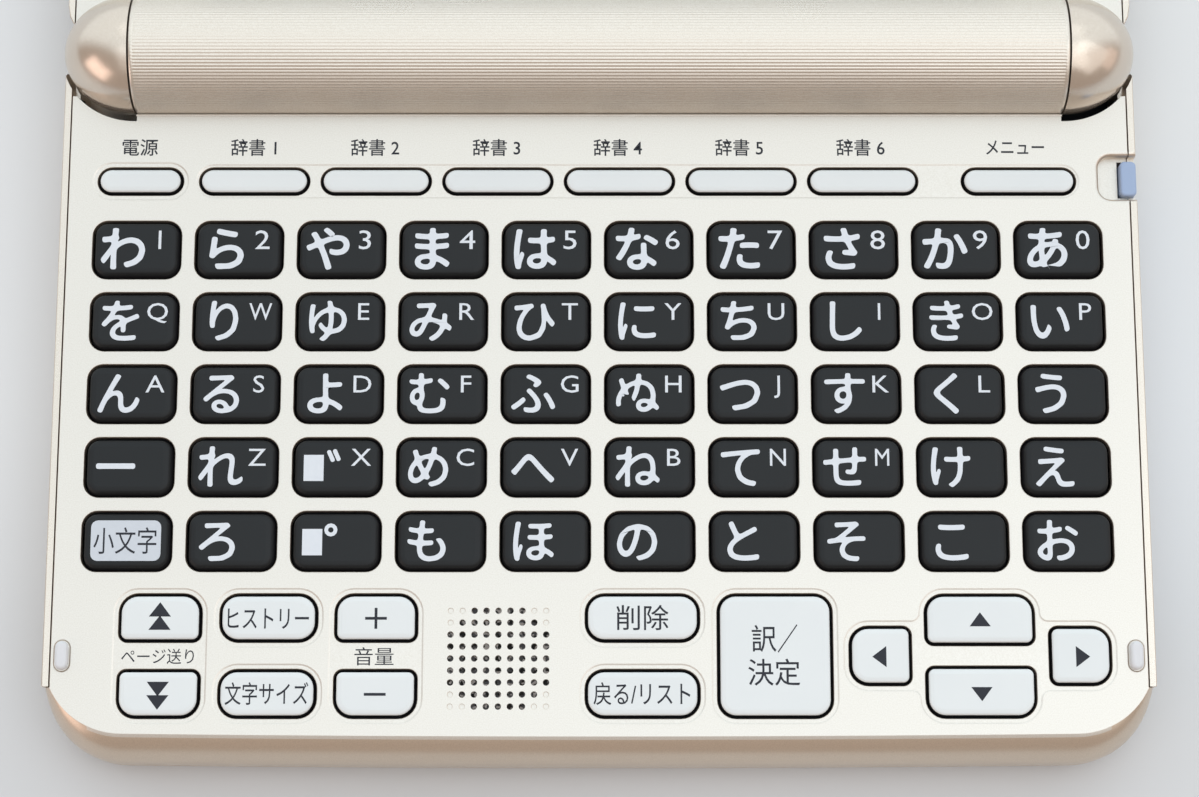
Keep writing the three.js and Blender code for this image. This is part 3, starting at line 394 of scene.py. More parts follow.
class Finishes(Enum):
    """Every finish of the dictionary."""

    DECK = SatinPaint("champagne_lacquer_on_abs", "champagne_paint", "#E0DED8", "#D6D3CB", 0.7, 0.38)
    SHELL = SatinPaint("gold_lacquer_on_abs", "gold_paint", "#E2DDD4", "#D4CCC0", 0.74, 0.28)
    # A tan copy of the same lacquer for steep and downward faces: painted shade and painted reflection.
    GOLD_WITH_PAINTED_SHADE = SatinPaint("gold_lacquer_with_painted_shade", "gold_paint", "#D8CAB9", "#CDBFAF", 0.72, 0.3)
    # A glossier copy of the lacquer for the domes, darker and tanner as painted shade and reflection.
    DOME_WITH_PAINTED_SHADE = SatinPaint("glossy_gold_lacquer_with_painted_shade", "gold_paint", "#DCD2C6", "#CFC5B8", 0.78, 0.23)
    PALE_KEY = MouldedPlastic("pale_grey_abs", "pale_key_plastic", "#DFE5E7", "#D8DFE2", 0.36)
    DARK_KEY = MouldedPlastic("charcoal_abs", "charcoal_key_plastic", "#11171B", "#0F1418", 0.5, ior=1.4)
    # Black rubber for key skirts and flanges, also put on recess and inner faces as painted shade.
    BLACK_RUBBER_AND_PAINTED_SHADE = Rubber("black_rubber_and_painted_shade", "black_rubber", "#101118", "#16171E")
    BLUE = MouldedPlastic("periwinkle_abs", "blue_plastic", "#9BB0D0", "#93A8CA", 0.4)
    WHITE_INK = PrintedInk("cool_white_ink", "pale_key_plastic", "#DBE2EA", "#D2DAE3")
    DARK_INK = PrintedInk("blue_black_ink", "charcoal_key_plastic", "#1F222B", "#262A34")
    GREY_INK = PrintedInk("silver_grey_ink", "pale_key_plastic", "#CBD3DC", "#C3CBD5")
    MASK_INK = PrintedInk("black_window_ink", "display_panel", "#15171A", "#1A1C20", 0.35)
    RUBBER = Rubber("dark_foot_rubber", "black_rubber", "#242426", "#333335")
    BUMPER = ClearPlastic("milky_urethane", "clear_bumper", "#E8EBF0", 0.2, 0.3)
    WINDOW = ClearPlastic("clear_acrylic", "window_plastic", "#FFFFFF", 1.0, 0.03)
    PANEL = DisplayFilm("display_polariser", "display_panel", "#8D958A", "#828A80")
    CLOTH = SpeakerCloth("speaker_cloth", "black_rubber", "#0C0D12", "#6C7078", "#E6E8EC")
    STEEL = TurnedSteel("nickel_plated_steel", "steel", "#C6C7CA", "#A9ABAF")
    CAN = TurnedSteel("battery_can", "battery_can", "#4E628A", "#41527A", 0.35)
    BOARD = SolderMask("green_solder_mask", "circuit_board", "#1F5A3A", "#2B6E48")
    JACKET = Rubber("brown_cable_jacket", "cable_jacket", "#5E4026", "#6B4A2C", 0.5)


# Bodies


class Combine(Enum):
    """The ways in which two bodies meet."""

    CUT = "DIFFERENCE"
    ADD = "UNION"
    KEEP = "INTERSECT"


class End(Enum):
    """The two halves of the case, by the way they run from the hinge."""

    BASE = -1
    LID = 1


@dataclass(frozen=True)
class Plan:
    """A rounded rectangle seen from above, in millimetres.

    Its corner radii run from the rear right corner anticlockwise.
    """

    x: float
    y: float
    width: float
    depth: float
    corners: tuple[float, float, float, float]

    def grown(self, by: float) -> "Plan":
        """The same figure with that much more all round."""
        corners = tuple(max(radius + by, 0.0) for radius in self.corners)
        return Plan(self.x, self.y, self.width + 2 * by, self.depth + 2 * by, corners)


def box_of(node: str) -> tuple[Vector, Vector]:
    """The lowest and highest corner of a CAD node, in millimetres."""
    low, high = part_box(node)
    return low / MM, high / MM


class Solid:
    """A closed body under construction, in millimetres."""

    def __init__(self) -> None:
        """Starts empty."""
        self.bm = bmesh.new()

    def outline(self, plan: Plan, z: float, segments: int = 6) -> bmesh.types.BMFace:
        """Adds a flat rounded rectangle that faces up.

        Args:
            plan: the figure.
            z: its level.
            segments: how many steps each corner has.

        Returns:
            The new face.
        """
        made = bmesh.ops.create_grid(self.bm, x_segments=1, y_segments=1, size=0.5)["verts"]
        bmesh.ops.scale(self.bm, vec=(plan.width, plan.depth, 1.0), verts=made)
        bmesh.ops.translate(self.bm, vec=(plan.x, plan.y, z), verts=made)
        corner = {(v.co.x > plan.x, v.co.y > plan.y): v for v in made}
        places = ((True, True), (False, True), (False, False), (True, False))
        largest = min(plan.width, plan.depth) / 2 - 0.001
        face = made[0].link_faces[0]
        for place, radius in zip(places, plan.corners):
            if radius > 0.0:
                round_corner = bmesh.ops.bevel(self.bm, geom=[corner[place]],
                                               offset=min(radius, largest), offset_type="OFFSET",
                                               segments=segments, profile=0.5, affect="VERTICES",
                                               material=-1)["verts"]
                face = round_corner[0].link_faces[0]
        level = list(face.verts)
        bmesh.ops.remove_doubles(self.bm, verts=level, dist=0.005)
        return next(v for v in level if v.is_valid).link_faces[0]

    def lift(self, face: bmesh.types.BMFace, by: float) -> bmesh.types.BMFace:
        """Extrudes a face straight up or down.

        Args:
            face: the face.
            by: how far, down where negative.

        Returns:
            The face at its new level.
        """
        closed = all(len(edge.link_faces) > 1 for edge in face.edges)
        made = bmesh.ops.extrude_face_region(self.bm, geom=[face])["geom"]
        if closed:
            bmesh.ops.delete(self.bm, geom=[face], context="FACES_ONLY")
        verts = [part for part in made if isinstance(part, bmesh.types.BMVert)]
        bmesh.ops.translate(self.bm, vec=(0.0, 0.0, by), verts=verts)
        return next(part for part in made if isinstance(part, bmesh.types.BMFace))

    def turn_down(self, face: bmesh.types.BMFace) -> None:
        """Makes a level face look down, as the underside of a body does."""
        bmesh.ops.recalc_face_normals(self.bm, faces=self.bm.faces)
        face.normal_update()
        if face.normal.z > 0.0:
            bmesh.ops.reverse_faces(self.bm, faces=self.bm.faces)

    def step(self, face: bmesh.types.BMFace, inward: float, out: float) -> None:
        """Insets a face evenly and moves it along its normal."""
        face.normal_update()
        bmesh.ops.inset_region(self.bm, faces=[face], thickness=inward, depth=out,
                               use_boundary=True, use_even_offset=True)

    def round_over(self, face: bmesh.types.BMFace, radius: float, steps: int = 4) -> None:
        """Rounds the edge round a face that stands at the end of a straight wall."""
        for i in range(steps):
            a, b = (math.pi / 2 * (i + j) / steps for j in (0, 1))
            self.step(face, radius * (math.cos(a) - math.cos(b)), radius * (math.sin(b) - math.sin(a)))

    def flare(self, face: bmesh.types.BMFace, radius: float, steps: int = 4) -> None:
        """Runs from a wide face into a straight wall along a quarter round that bulges inwards."""
        for i in range(steps):
            a, b = (math.pi / 2 * (i + j) / steps for j in (0, 1))
            self.step(face, radius * (math.sin(b) - math.sin(a)), radius * (math.cos(a) - math.cos(b)))

    @classmethod
    def slab(cls, plan: Plan, bottom: float, top: float, top_round: float = 0.0,
             bottom_round: float = 0.0, segments: int = 6, steps: int = 4) -> "Solid":
        """A flat plate over a rounded rectangle.

        Args:
            plan: its figure.
            bottom: the level of its underside.
            top: the level of its upper side.
            top_round: the radius round its upper edge.
            bottom_round: the radius round its lower edge.
            segments: steps in each corner.
            steps: steps in each rounded edge.

        Returns:
            The plate.
        """
        solid = cls()
        under = solid.outline(plan, bottom + bottom_round, segments)
        upper = solid.lift(under, top - top_round - bottom - bottom_round)
        solid.turn_down(under)
        if top_round > 0.0:
            solid.round_over(upper, top_round, steps)
        if bottom_round > 0.0:
            solid.round_over(under, bottom_round, steps)
        return solid

    @classmethod
    def well(cls, plan: Plan, top: float, bottom: float, flare: float, segments: int = 6) -> "Solid":
        """The body that a hole with a rounded rim takes out.

        Args:
            plan: the hole's figure below its rim.
            top: the level of the surface that it goes into.
            bottom: the level where it ends.
            flare: the radius of its rim.
            segments: steps in each corner.

        Returns:
            The body to cut with.
        """
        solid = cls()
        rim = solid.outline(plan.grown(flare), top, segments)
        solid.lift(rim, 1.0)
        solid.turn_down(rim)
        if flare > 0.0:
            solid.flare(rim, flare, 3)
        solid.lift(rim, bottom - top + flare)
        return solid

    @classmethod
    def block(cls, x0: float, x1: float, y0: float, y1: float, z0: float, z1: float) -> "Solid":
        """A plain block between two corners, to cut or join with."""
        solid = cls()
        size = Matrix.Diagonal((x1 - x0, y1 - y0, z1 - z0, 1.0))
        middle = Matrix.Translation(((x0 + x1) / 2, (y0 + y1) / 2, (z0 + z1) / 2))
        bmesh.ops.create_cube(solid.bm, size=1.0, matrix=middle @ size)
        return solid

    @classmethod
    def rod(cls, radius: float, x0: float, x1: float, z: float, sides: int = 96) -> "Solid":
        """A round bar along the hinge line.

        Args:
            radius: its radius.
            x0: where it begins.
            x1: where it ends.
            z: its level.
            sides: how many sides it is drawn with.

        Returns:
            The bar.
        """
        solid = cls()
        place = Matrix.Translation(((x0 + x1) / 2, 0.0, z)) @ Matrix.Rotation(math.pi / 2, 4, "Y")
        bmesh.ops.create_cone(solid.bm, cap_ends=True, segments=sides, radius1=radius,
                              radius2=radius, depth=x1 - x0, matrix=place)
        return solid

    @classmethod
    def post(cls, radius: float, x: float, y: float, z0: float, z1: float, sides: int = 24,
             top_radius: float | None = None) -> "Solid":
        """An upright round bar, which may taper.

        Args:
            radius: its radius at the bottom.
            x: its place across.
            y: its place along the depth.
            z0: where it begins.
            z1: where it ends.
            sides: how many sides it is drawn with.
            top_radius: its radius at the top, where that differs.

        Returns:
            The bar.
        """
        solid = cls()
        bmesh.ops.create_cone(solid.bm, cap_ends=True, segments=sides, radius1=radius,
                              radius2=radius if top_radius is None else top_radius, depth=z1 - z0,
                              matrix=Matrix.Translation((x, y, (z0 + z1) / 2)))
        return solid

    @classmethod
    def egg(cls, x: float, z: float, length: float, radius: float) -> "Solid":
        """A whole ellipsoid on the hinge line, with its poles along it."""
        solid = cls()
        place = (Matrix.Translation((x, 0.0, z)) @ Matrix.Diagonal((length, radius, radius, 1.0))
                 @ Matrix.Rotation(math.pi / 2, 4, "Y"))
        bmesh.ops.create_uvsphere(solid.bm, u_segments=96, v_segments=48, radius=1.0, matrix=place)
        return solid

    def absorb(self, *others: "Solid") -> "Solid":
        """Takes in other bodies as they are, and returns itself."""
        for other in others:
            mesh = bpy.data.meshes.new("absorbed")
            other.bm.to_mesh(mesh)
            self.bm.from_mesh(mesh)
            bpy.data.meshes.remove(mesh)
        return self

    def _shown(self) -> bpy.types.Object:
        """The body as an object, for a modifier to work on."""
        bmesh.ops.recalc_face_normals(self.bm, faces=self.bm.faces)
        mesh = bpy.data.meshes.new("body")
        self.bm.to_mesh(mesh)
        shown = bpy.data.objects.new("body", mesh)
        bpy.context.scene.collection.objects.link(shown)
        return shown

    def combine(self, how: Combine, *others: "Solid") -> "Solid":
        """Joins other bodies with this one, one after another.

        Args:
            how: whether they are cut away, added or kept in common.
            others: the other bodies, each closed and clear of itself.

        Returns:
            This body.
        """
        for other in others:
            mine, theirs = self._shown(), other._shown()
            modifier = mine.modifiers.new("combine", "BOOLEAN")
            modifier.operation = how.value
            modifier.solver = "MANIFOLD"
            modifier.object = theirs
            depsgraph = bpy.context.evaluated_depsgraph_get()
            mesh = bpy.data.meshes.new_from_object(mine.evaluated_get(depsgraph))
            self.bm.clear()
            self.bm.from_mesh(mesh)
            for spent in (mine, theirs):
                data = spent.data
                bpy.data.objects.remove(spent)
                bpy.data.meshes.remove(data)
            bpy.data.meshes.remove(mesh)
        return self

    def soften(self, wanted: Callable[[bmesh.types.BMEdge], bool], offset: float,
               segments: int = 3) -> "Solid":
        """Rounds some of the edges.

        Args:
            wanted: tells which edges.
            offset: how far the rounding reaches.
            segments: how many steps it has.

        Returns:
            This body.
        """
        edges = [edge for edge in self.bm.edges if wanted(edge)]
        bmesh.ops.bevel(self.bm, geom=edges, offset=offset, offset_type="OFFSET", segments=segments,
                        profile=0.5, affect="EDGES", clamp_overlap=True, material=-1)
        return self


@dataclass
class Shading:
    """How a piece's edges are shaded: hard past an angle, and hard at its own fine creases."""

    sharp: float = 34.0
    creases: tuple[float, ...] = ()
    width: float = 1.0

    def apply(self, bm: bmesh.types.BMesh) -> None:
        """Marks every face smooth, and the hard edges."""
        for face in bm.faces:
            face.smooth = True
        for edge in bm.edges:
            angle = math.degrees(edge.calc_face_angle(0.0))
            crease = any(abs(angle - own) < self.width for own in self.creases)
            edge.smooth = angle < self.sharp and not crease


def make_piece(solid: Solid, name: str, finish: Finishes, body: str, stands_for: Sequence[str] = (),
               shading: Shading | None = None,
               others: Sequence[tuple[Finishes, Callable[[bmesh.types.BMFace], bool]]] = (),
               film: bool = False) -> bpy.types.Object:
    """Turns a body into a finished piece in metres.

    Args:
        solid: the body.
        name: the piece's name.
        finish: its finish.
        body: the CAD body that it rides on.
        stands_for: the CAD nodes that it replaces.
        shading: how its edges are shaded.
        others: further finishes, each with a test for the faces that have it.
        film: whether it is a flat printed film, which looks up.

    Returns:
        The finished object.
    """
    bm = solid.bm
    bmesh.ops.remove_doubles(bm, verts=bm.verts, dist=1e-4)
    if film:
        bm.normal_update()
        bmesh.ops.reverse_faces(bm, faces=[face for face in bm.faces if face.normal.z < 0.0])
    else:
        bmesh.ops.recalc_face_normals(bm, faces=bm.faces)
    (shading or Shading()).apply(bm)
    for face in bm.faces:
        face.material_index = next((i for i, (_, wanted) in enumerate(others, 1) if wanted(face)), 0)
    bmesh.ops.scale(bm, vec=(MM, MM, MM), verts=bm.verts)
    mesh = bpy.data.meshes.new(name)
    bm.to_mesh(mesh)
    bm.free()
    mesh.materials.append(finish.value.material())
    for other, _ in others:
        mesh.materials.append(other.value.material())
    made = bpy.data.objects.new(name, mesh)
    bpy.context.scene.collection.objects.link(made)
    normals = made.modifiers.new("even_shading", "WEIGHTED_NORMAL")
    normals.keep_sharp = True
    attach(made, body)
    if stands_for:
        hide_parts(*stands_for)
    log.info("%s: %d faces", name, len(mesh.polygons))
    return made


def dress_node(node: str, finish: Finishes) -> None:
    """Gives a CAD node that stays its finish.

    Args:
        node: the node's name.
        finish: its finish.
    """
    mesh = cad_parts[node].data
    mesh.materials.clear()
    mesh.materials.append(finish.value.material())
    log.info("%s: CAD node dressed as %s", node, finish.value.name)


# The case


@dataclass
class Levels:
    """Heights and half widths that both halves share, taken from the frame."""

    deck: float = field(default_factory=lambda: box_of("base_bottom_case")[1].z)
    bottom: float = field(default_factory=lambda: box_of("base_bottom_case")[0].z)
    lid_outer: float = field(default_factory=lambda: box_of("lid_back_cover")[0].z)
    axis: float = field(default_factory=lambda: sum(c.z for c in box_of("hinge_barrel")) / 2)
    half_width: float = field(default_factory=lambda: box_of("lid_back_cover")[1].x)
    reach: float = field(default_factory=lambda: box_of("lid_back_cover")[1].y)
    plate_half_width: float = field(default_factory=lambda: box_of("base_deck")[1].x)
    barrel_half: float = field(default_factory=lambda: box_of("hinge_barrel")[1].x)
    barrel_radius: float = field(default_factory=lambda: box_of("hinge_barrel")[1].z
                                 - sum(c.z for c in box_of("hinge_barrel")) / 2)
    clearance: float = 0.3
    end_gap: float = 0.2
    plate: float = 1.3
    dome_gap: float = 1.1
    dome_side_gap: float = 0.45

    @property
    def dome_x(self) -> float:
        """Where a dome begins, beside the barrel's end."""
        return self.barrel_half + self.end_gap

    @property
    def dome_length(self) -> float:
        """From there to the overall side."""
        return self.half_width - self.dome_x

    @property
    def under(self) -> float:
        """The level of the underside of the two inner plates."""
        return self.deck - self.plate


@dataclass
class HalfShell:
    """The outer form of one half: a tray with a rolled far edge and round far corners."""

    end: End
    levels: Levels
    outer: float
    near: float
    near_corner: float
    roll: float
    bottom_round: float
    corner: float = 10.5
    plate_corner: float = 10.0
    bow: float = 0.35
    roll_start: float = 23.3
    wall: float = 1.6
    lip: float = 0.1
    seam: float = 0.14
    edge_round: float = 0.6
    rim_round: float = 0.18
    corner_steps: int = 18
    roll_steps: int = 14

    def figure(self, width: float, far: float, near: float, corner: float,
               near_corner: float, z: float) -> tuple[Solid, bmesh.types.BMFace]:
        """The plan of a half, with its far edge bowed out.

        Args:
            width: half its width.
            far: its reach from the hinge at the middle of the far edge.
            near: where it begins.
            corner: the radius of its far corners.
            near_corner: the radius of its near corners.
            z: its level.

        Returns:
            A body that holds only that face, and the face.
        """
        solid = Solid()
        depth = far - self.bow - near
        plan = Plan(0.0, near + depth / 2, 2 * width, depth, (0.0, 0.0, near_corner, near_corner))
        face = solid.outline(plan, z, 5)
        top = plan.y + depth / 2
        corners = [v for v in face.verts if abs(v.co.y - top) < 1e-4]
        bmesh.ops.bevel(solid.bm, geom=corners, offset=corner, offset_type="OFFSET",
                        segments=self.corner_steps, profile=0.5, affect="VERTICES", material=-1)
        edge = max((e for e in solid.bm.edges if all(abs(v.co.y - top) < 1e-4 for v in e.verts)),
                   key=lambda e: e.calc_length())
        bmesh.ops.subdivide_edges(solid.bm, edges=[edge], cuts=23, use_grid_fill=False)
        reach = width - corner
        for vert in solid.bm.verts:
            if abs(vert.co.y - top) < 1e-4:
                vert.co.y += self.bow * (1.0 - (vert.co.x / reach) ** 2)
        if self.end is End.BASE:
            bmesh.ops.rotate(solid.bm, cent=(0, 0, 0), matrix=Matrix.Rotation(math.pi, 3, "Z"),
                             verts=solid.bm.verts)
        solid.bm.faces.ensure_lookup_table()
        return solid, solid.bm.faces[0]

    def roll_levels(self) -> list[tuple[float, float]]:
        """How far below the plate, and how far in, each step of the rolled edge lies."""
        start = math.radians(self.roll_start)
        angles = [math.radians(90.0 - (90.0 - self.roll_start) * i / self.roll_steps)
                  for i in range(self.roll_steps + 1)]
        return [(self.roll * (math.cos(start) - math.cos(a)), self.roll * (1 - math.sin(a)))
                for a in angles]

    @property
    def roll_drop(self) -> float:
        """How far below the plate the rolled edge ends."""
        return self.roll_levels()[0][0]

    @property
    def corner_y(self) -> float:
        """Where the far corners begin, as a distance from the hinge."""
        return self.levels.reach - self.bow - self.corner

    def build_roll(self, solid: Solid, face: bmesh.types.BMFace, top: float,
                   corner_y: float) -> bmesh.types.BMFace:
        """Runs a flat top up through the rolled far edge.

        Args:
            solid: the body.
            face: its top face, at the level where the roll ends.
            top: the level of the finished top.
            corner_y: the distance from the hinge past which points move with the far edge.

        Returns:
            The top face at its level.
        """
        levels = self.roll_levels()
        for (drop, inset), (next_drop, next_inset) in zip(levels, levels[1:]):
            face = solid.lift(face, drop - next_drop)
            far = [v for v in face.verts if v.co.y * self.end.value > corner_y - 1e-3]
            bmesh.ops.translate(solid.bm, vec=(0.0, -self.end.value * (next_inset - inset), 0.0),
                                verts=far)
        for vert in face.verts:
            vert.co.z = top
        return face

    def form(self, rolled: bool = True) -> Solid:
        """The whole outer form, closed, before its plate and tray are parted.

        Args:
            rolled: whether its far edge is rolled over; the tray's own rim stands straight.

        Returns:
            The form.
        """
        at = self.levels
        start = self.outer + self.bottom_round
        solid, under = self.figure(at.half_width, at.reach, self.near, self.corner,
                                   self.near_corner, start)
        upper = solid.lift(under, at.deck - self.roll_drop - start)
        solid.turn_down(under)
        solid.round_over(under, self.bottom_round, 7)
        if rolled:
            upper = self.build_roll(solid, upper, at.deck, self.corner_y)
        else:
            upper = solid.lift(upper, self.roll_drop)
        rim = set(upper.edges)
        reach, steps = (self.edge_round, 5) if rolled else (self.rim_round, 3)
        return solid.soften(lambda edge: edge in rim, reach, steps)

    @property
    def tip(self) -> float:
        """How far from the hinge the tray's side strip ends, where the rolled edge meets the plate's."""
        at = self.levels
        across = (self.corner - at.half_width + at.plate_half_width) / self.corner
        return self.corner_y + self.corner * math.sin(math.acos(across)) - self.roll_levels()[-1][1]

    def past_tip(self, bottom: float, more: float = 0.0) -> Solid:
        """Everything past the end of the side strips, where the plate runs out to the whole outline."""
        y0, y1 = sorted((self.end.value * (self.tip - more), self.end.value * BEYOND))
        return Solid.block(-BEYOND, BEYOND, y0, y1, bottom, self.levels.deck + CLEAR / 2)

    def region(self, grow: float, near: float, bottom: float, chamfer: float = 0.0) -> Solid:
        """Everything inside the plan line that parts the plate from the tray.

        Args:
            grow: how far outside that line it reaches.
            near: where it begins.
            bottom: its lowest level.
            chamfer: the radius that it takes off the plate's own edge.

        Returns:
            The body.
        """
        at = self.levels
        solid, under = self.figure(at.plate_half_width + grow, at.reach - self.lip + grow, near,
                                   self.plate_corner + grow, grow + at.clearance, bottom)
        upper = solid.lift(under, at.deck - chamfer - bottom)
        if chamfer > 0.0:
            solid.round_over(upper, chamfer, 3)
        solid.lift(upper, CLEAR)
        return solid

    def plate_hollow(self, near: float, bottom: float) -> Solid:
        """The hollow under the plate, one plate thickness inside its form."""
        at = self.levels
        far = at.reach - at.plate
        corner = self.plate_corner - at.plate
        solid, under = self.figure(at.plate_half_width - at.plate, far, near, corner,
                                   at.clearance, bottom)
        upper = solid.lift(under, at.deck - at.plate - self.roll_drop - bottom)
        self.build_roll(solid, upper, at.deck - at.plate, far - self.bow - corner)
        return solid

    def tray_hollow(self, bottom: float, near: float) -> Solid:
        """The hollow of the tray, open at its top."""
        at = self.levels
        solid, under = self.figure(at.half_width - self.wall, at.reach - self.wall, near,
                                   self.corner - self.wall, at.clearance, bottom)
        solid.lift(under, at.deck + CLEAR - bottom)
        return solid


def dome_room(levels: Levels) -> list[Solid]:
    """The room that the two domes need in the base, with a way out to the rear.

    Args:
        levels: the shared heights and widths.

    Returns:
        The bodies to cut with.
    """
    radius = levels.barrel_radius + levels.dome_gap
    rooms = []
    for side in (-1, 1):
        inner = side * (levels.dome_x - levels.clearance)
        x0, x1 = sorted((inner, side * (levels.dome_x + CLEAR)))
        room = Solid.egg(side * levels.dome_x, levels.axis,
                         levels.dome_length + levels.dome_side_gap, radius)
        room.combine(Combine.KEEP, Solid.block(x0, x1, -CLEAR, CLEAR, levels.axis - CLEAR,
                                               levels.axis + CLEAR))
        rooms += [room, Solid.block(x0, x1, 0.0, CLEAR, levels.axis - radius, levels.axis + CLEAR)]
    return rooms


# The keys


@dataclass
class KeySizes:
    """Sizes that the caps, their holes and the surrounds share."""

    gap: float = 0.28
    pale_gap: float = 0.36
    draft: float = 0.16
    pale_draft: float = 0.05
    flange: float = 0.5
    hole_rim: float = 0.14
    kana_hole_rim: float = 0.16
    kana_bar: float = 1.8
    kana_bar_deep: float = 1.85
    kana_corner: float = 2.0
    outward: float = 2.5
    inward: float = 1.2
    enter: float = 2.4
    rows: int = 5
    columns: int = 10
    surround: float = 0.72
    surround_slope: float = 0.2
    surround_depth: float = 0.08


PILLS = ("power_key", "function_key_1", "function_key_2", "function_key_3", "function_key_4",
         "function_key_5", "function_key_6", "menu_key")
LOWER_KEYS = ("page_up_key", "page_down_key", "history_key", "text_size_key", "volume_up_key",
              "volume_down_key", "delete_key", "back_key", "enter_key", "arrow_up_key",
              "arrow_down_key", "arrow_left_key", "arrow_right_key")


@dataclass
class KeyPlans:
    """Where every key's hole lies, read from the frame."""

    sizes: KeySizes = field(default_factory=KeySizes)

    def corners(self, name: str, depth: float) -> tuple[float, float, float, float]:
        """The corner radii of a pale key.

        Args:
            name: the key.
            depth: how deep it is.

        Returns:
            The radii from the rear right corner anticlockwise.
        """
        big, small = self.sizes.outward, self.sizes.inward
        if name in PILLS:
            return (depth / 2,) * 4
        if name == "enter_key":
            return (self.sizes.enter,) * 4
        if name in ("page_up_key", "volume_up_key", "arrow_up_key"):
            return (big, big, small, small)
        if name in ("page_down_key", "volume_down_key", "arrow_down_key"):
            return (small, small, big, big)
        if name == "arrow_left_key":
            return (small, big, big, small)
        if name == "arrow_right_key":
            return (big, small, small, big)
        return (big,) * 4

    def pale(self, name: str) -> Plan:
        """The hole of one pale key."""
        low, high = box_of(name)
        width = high.x - low.x - 2 * self.sizes.flange
        depth = high.y - low.y - 2 * self.sizes.flange
        return Plan((low.x + high.x) / 2, (low.y + high.y) / 2, width, depth,
                    self.corners(name, depth))

    def kana(self, column: int, row: int) -> Plan:
        """The hole of one dark key."""
        sizes = self.sizes
        low, high = box_of(f"kana_keys_column_{column}")
        pitch = (high.y - low.y + sizes.kana_bar_deep) / sizes.rows
        depth = pitch - sizes.kana_bar_deep
        width = high.x - low.x + 2 * sizes.gap
        return Plan((low.x + high.x) / 2, high.y - depth / 2 - row * pitch, width, depth,
                    (sizes.kana_corner,) * 4)

    def all_kana(self) -> list[Plan]:
        """The holes of all dark keys."""
        return [self.kana(column, row) for column in range(1, self.sizes.columns + 1)
                for row in range(self.sizes.rows)]


def around(first: Plan, last: Plan, margin: float) -> Plan:
    """One figure round two keys.

    Args:
        first: the rear or left key.
        last: the front or right key.
        margin: how far outside them it runs.

    Returns:
        The figure, with its corners as round as the keys' own.
    """
    left = min(p.x - p.width / 2 for p in (first, last))
    right = max(p.x + p.width / 2 for p in (first, last))
    near = min(p.y - p.depth / 2 for p in (first, last))
    far = max(p.y + p.depth / 2 for p in (first, last))
    radius = max(first.corners)
    return Plan((left + right) / 2, (near + far) / 2, right - left, far - near,
                (radius,) * 4).grown(margin)


def printed(text: str, size: float, weight: float = 0.0, narrow: float = 1.0,
            round_ends: float = 0.0) -> Solid:
    """Sets a word as a flat film at the origin, on its own baseline.

    Args:
        text: the word.
        size: the height of its type in millimetres.
        weight: how much bolder than the plain type its strokes are, at each side.
        narrow: its width as a share of the plain type's.
        round_ends: how far the rounding of a stroke's end reaches.

    Returns:
        The film.
    """
    curve = bpy.data.curves.new("word", "FONT")
    curve.body, curve.size, curve.offset, curve.resolution_u = text, size, weight, 3
    word = bpy.data.objects.new("word", curve)
    bpy.context.scene.collection.objects.link(word)
    depsgraph = bpy.context.evaluated_depsgraph_get()
    mesh = bpy.data.meshes.new_from_object(word.evaluated_get(depsgraph))
    film = Solid()
    film.bm.from_mesh(mesh)
    bpy.data.objects.remove(word)
    bpy.data.curves.remove(curve)
    bpy.data.meshes.remove(mesh)
    bmesh.ops.remove_doubles(film.bm, verts=film.bm.verts, dist=1e-4)
    if round_ends > 0.0:
        round_strokes(film, round_ends, 18)
    bmesh.ops.scale(film.bm, vec=(narrow, 1.0, 1.0), verts=film.bm.verts)
    return film


def round_strokes(film: Solid, spacing: float, passes: int) -> None:
    """Rounds the square ends of the strokes of a flat film.

    Args:
        film: the film.
        spacing: how far apart the points on its outline are set.
        passes: how often each point moves towards the middle of its neighbours.
    """
    bm = film.bm
    by_cuts: dict[int, list[bmesh.types.BMEdge]] = {}
    for edge in bm.edges:
        if edge.is_boundary:
            by_cuts.setdefault(int(edge.calc_length() / spacing), []).append(edge)
    for cuts, edges in by_cuts.items():
        if cuts:
            bmesh.ops.subdivide_edges(bm, edges=edges, cuts=cuts, use_grid_fill=False)
    beside = {vert: [edge.other_vert(vert) for edge in vert.link_edges if edge.is_boundary]
              for vert in bm.verts}
    for _ in range(passes):
        moved = {vert: vert.co.lerp((both[0].co + both[1].co) / 2, 0.5)
                 for vert, both in beside.items() if len(both) == 2}
        for vert, place in moved.items():
            vert.co = place


class Sign(Enum):
    """The signs on the keys that aren't words, and the way each one points, in degrees."""

    UP = 0.0
    LEFT = 90.0
    DOWN = 180.0
    RIGHT = 270.0


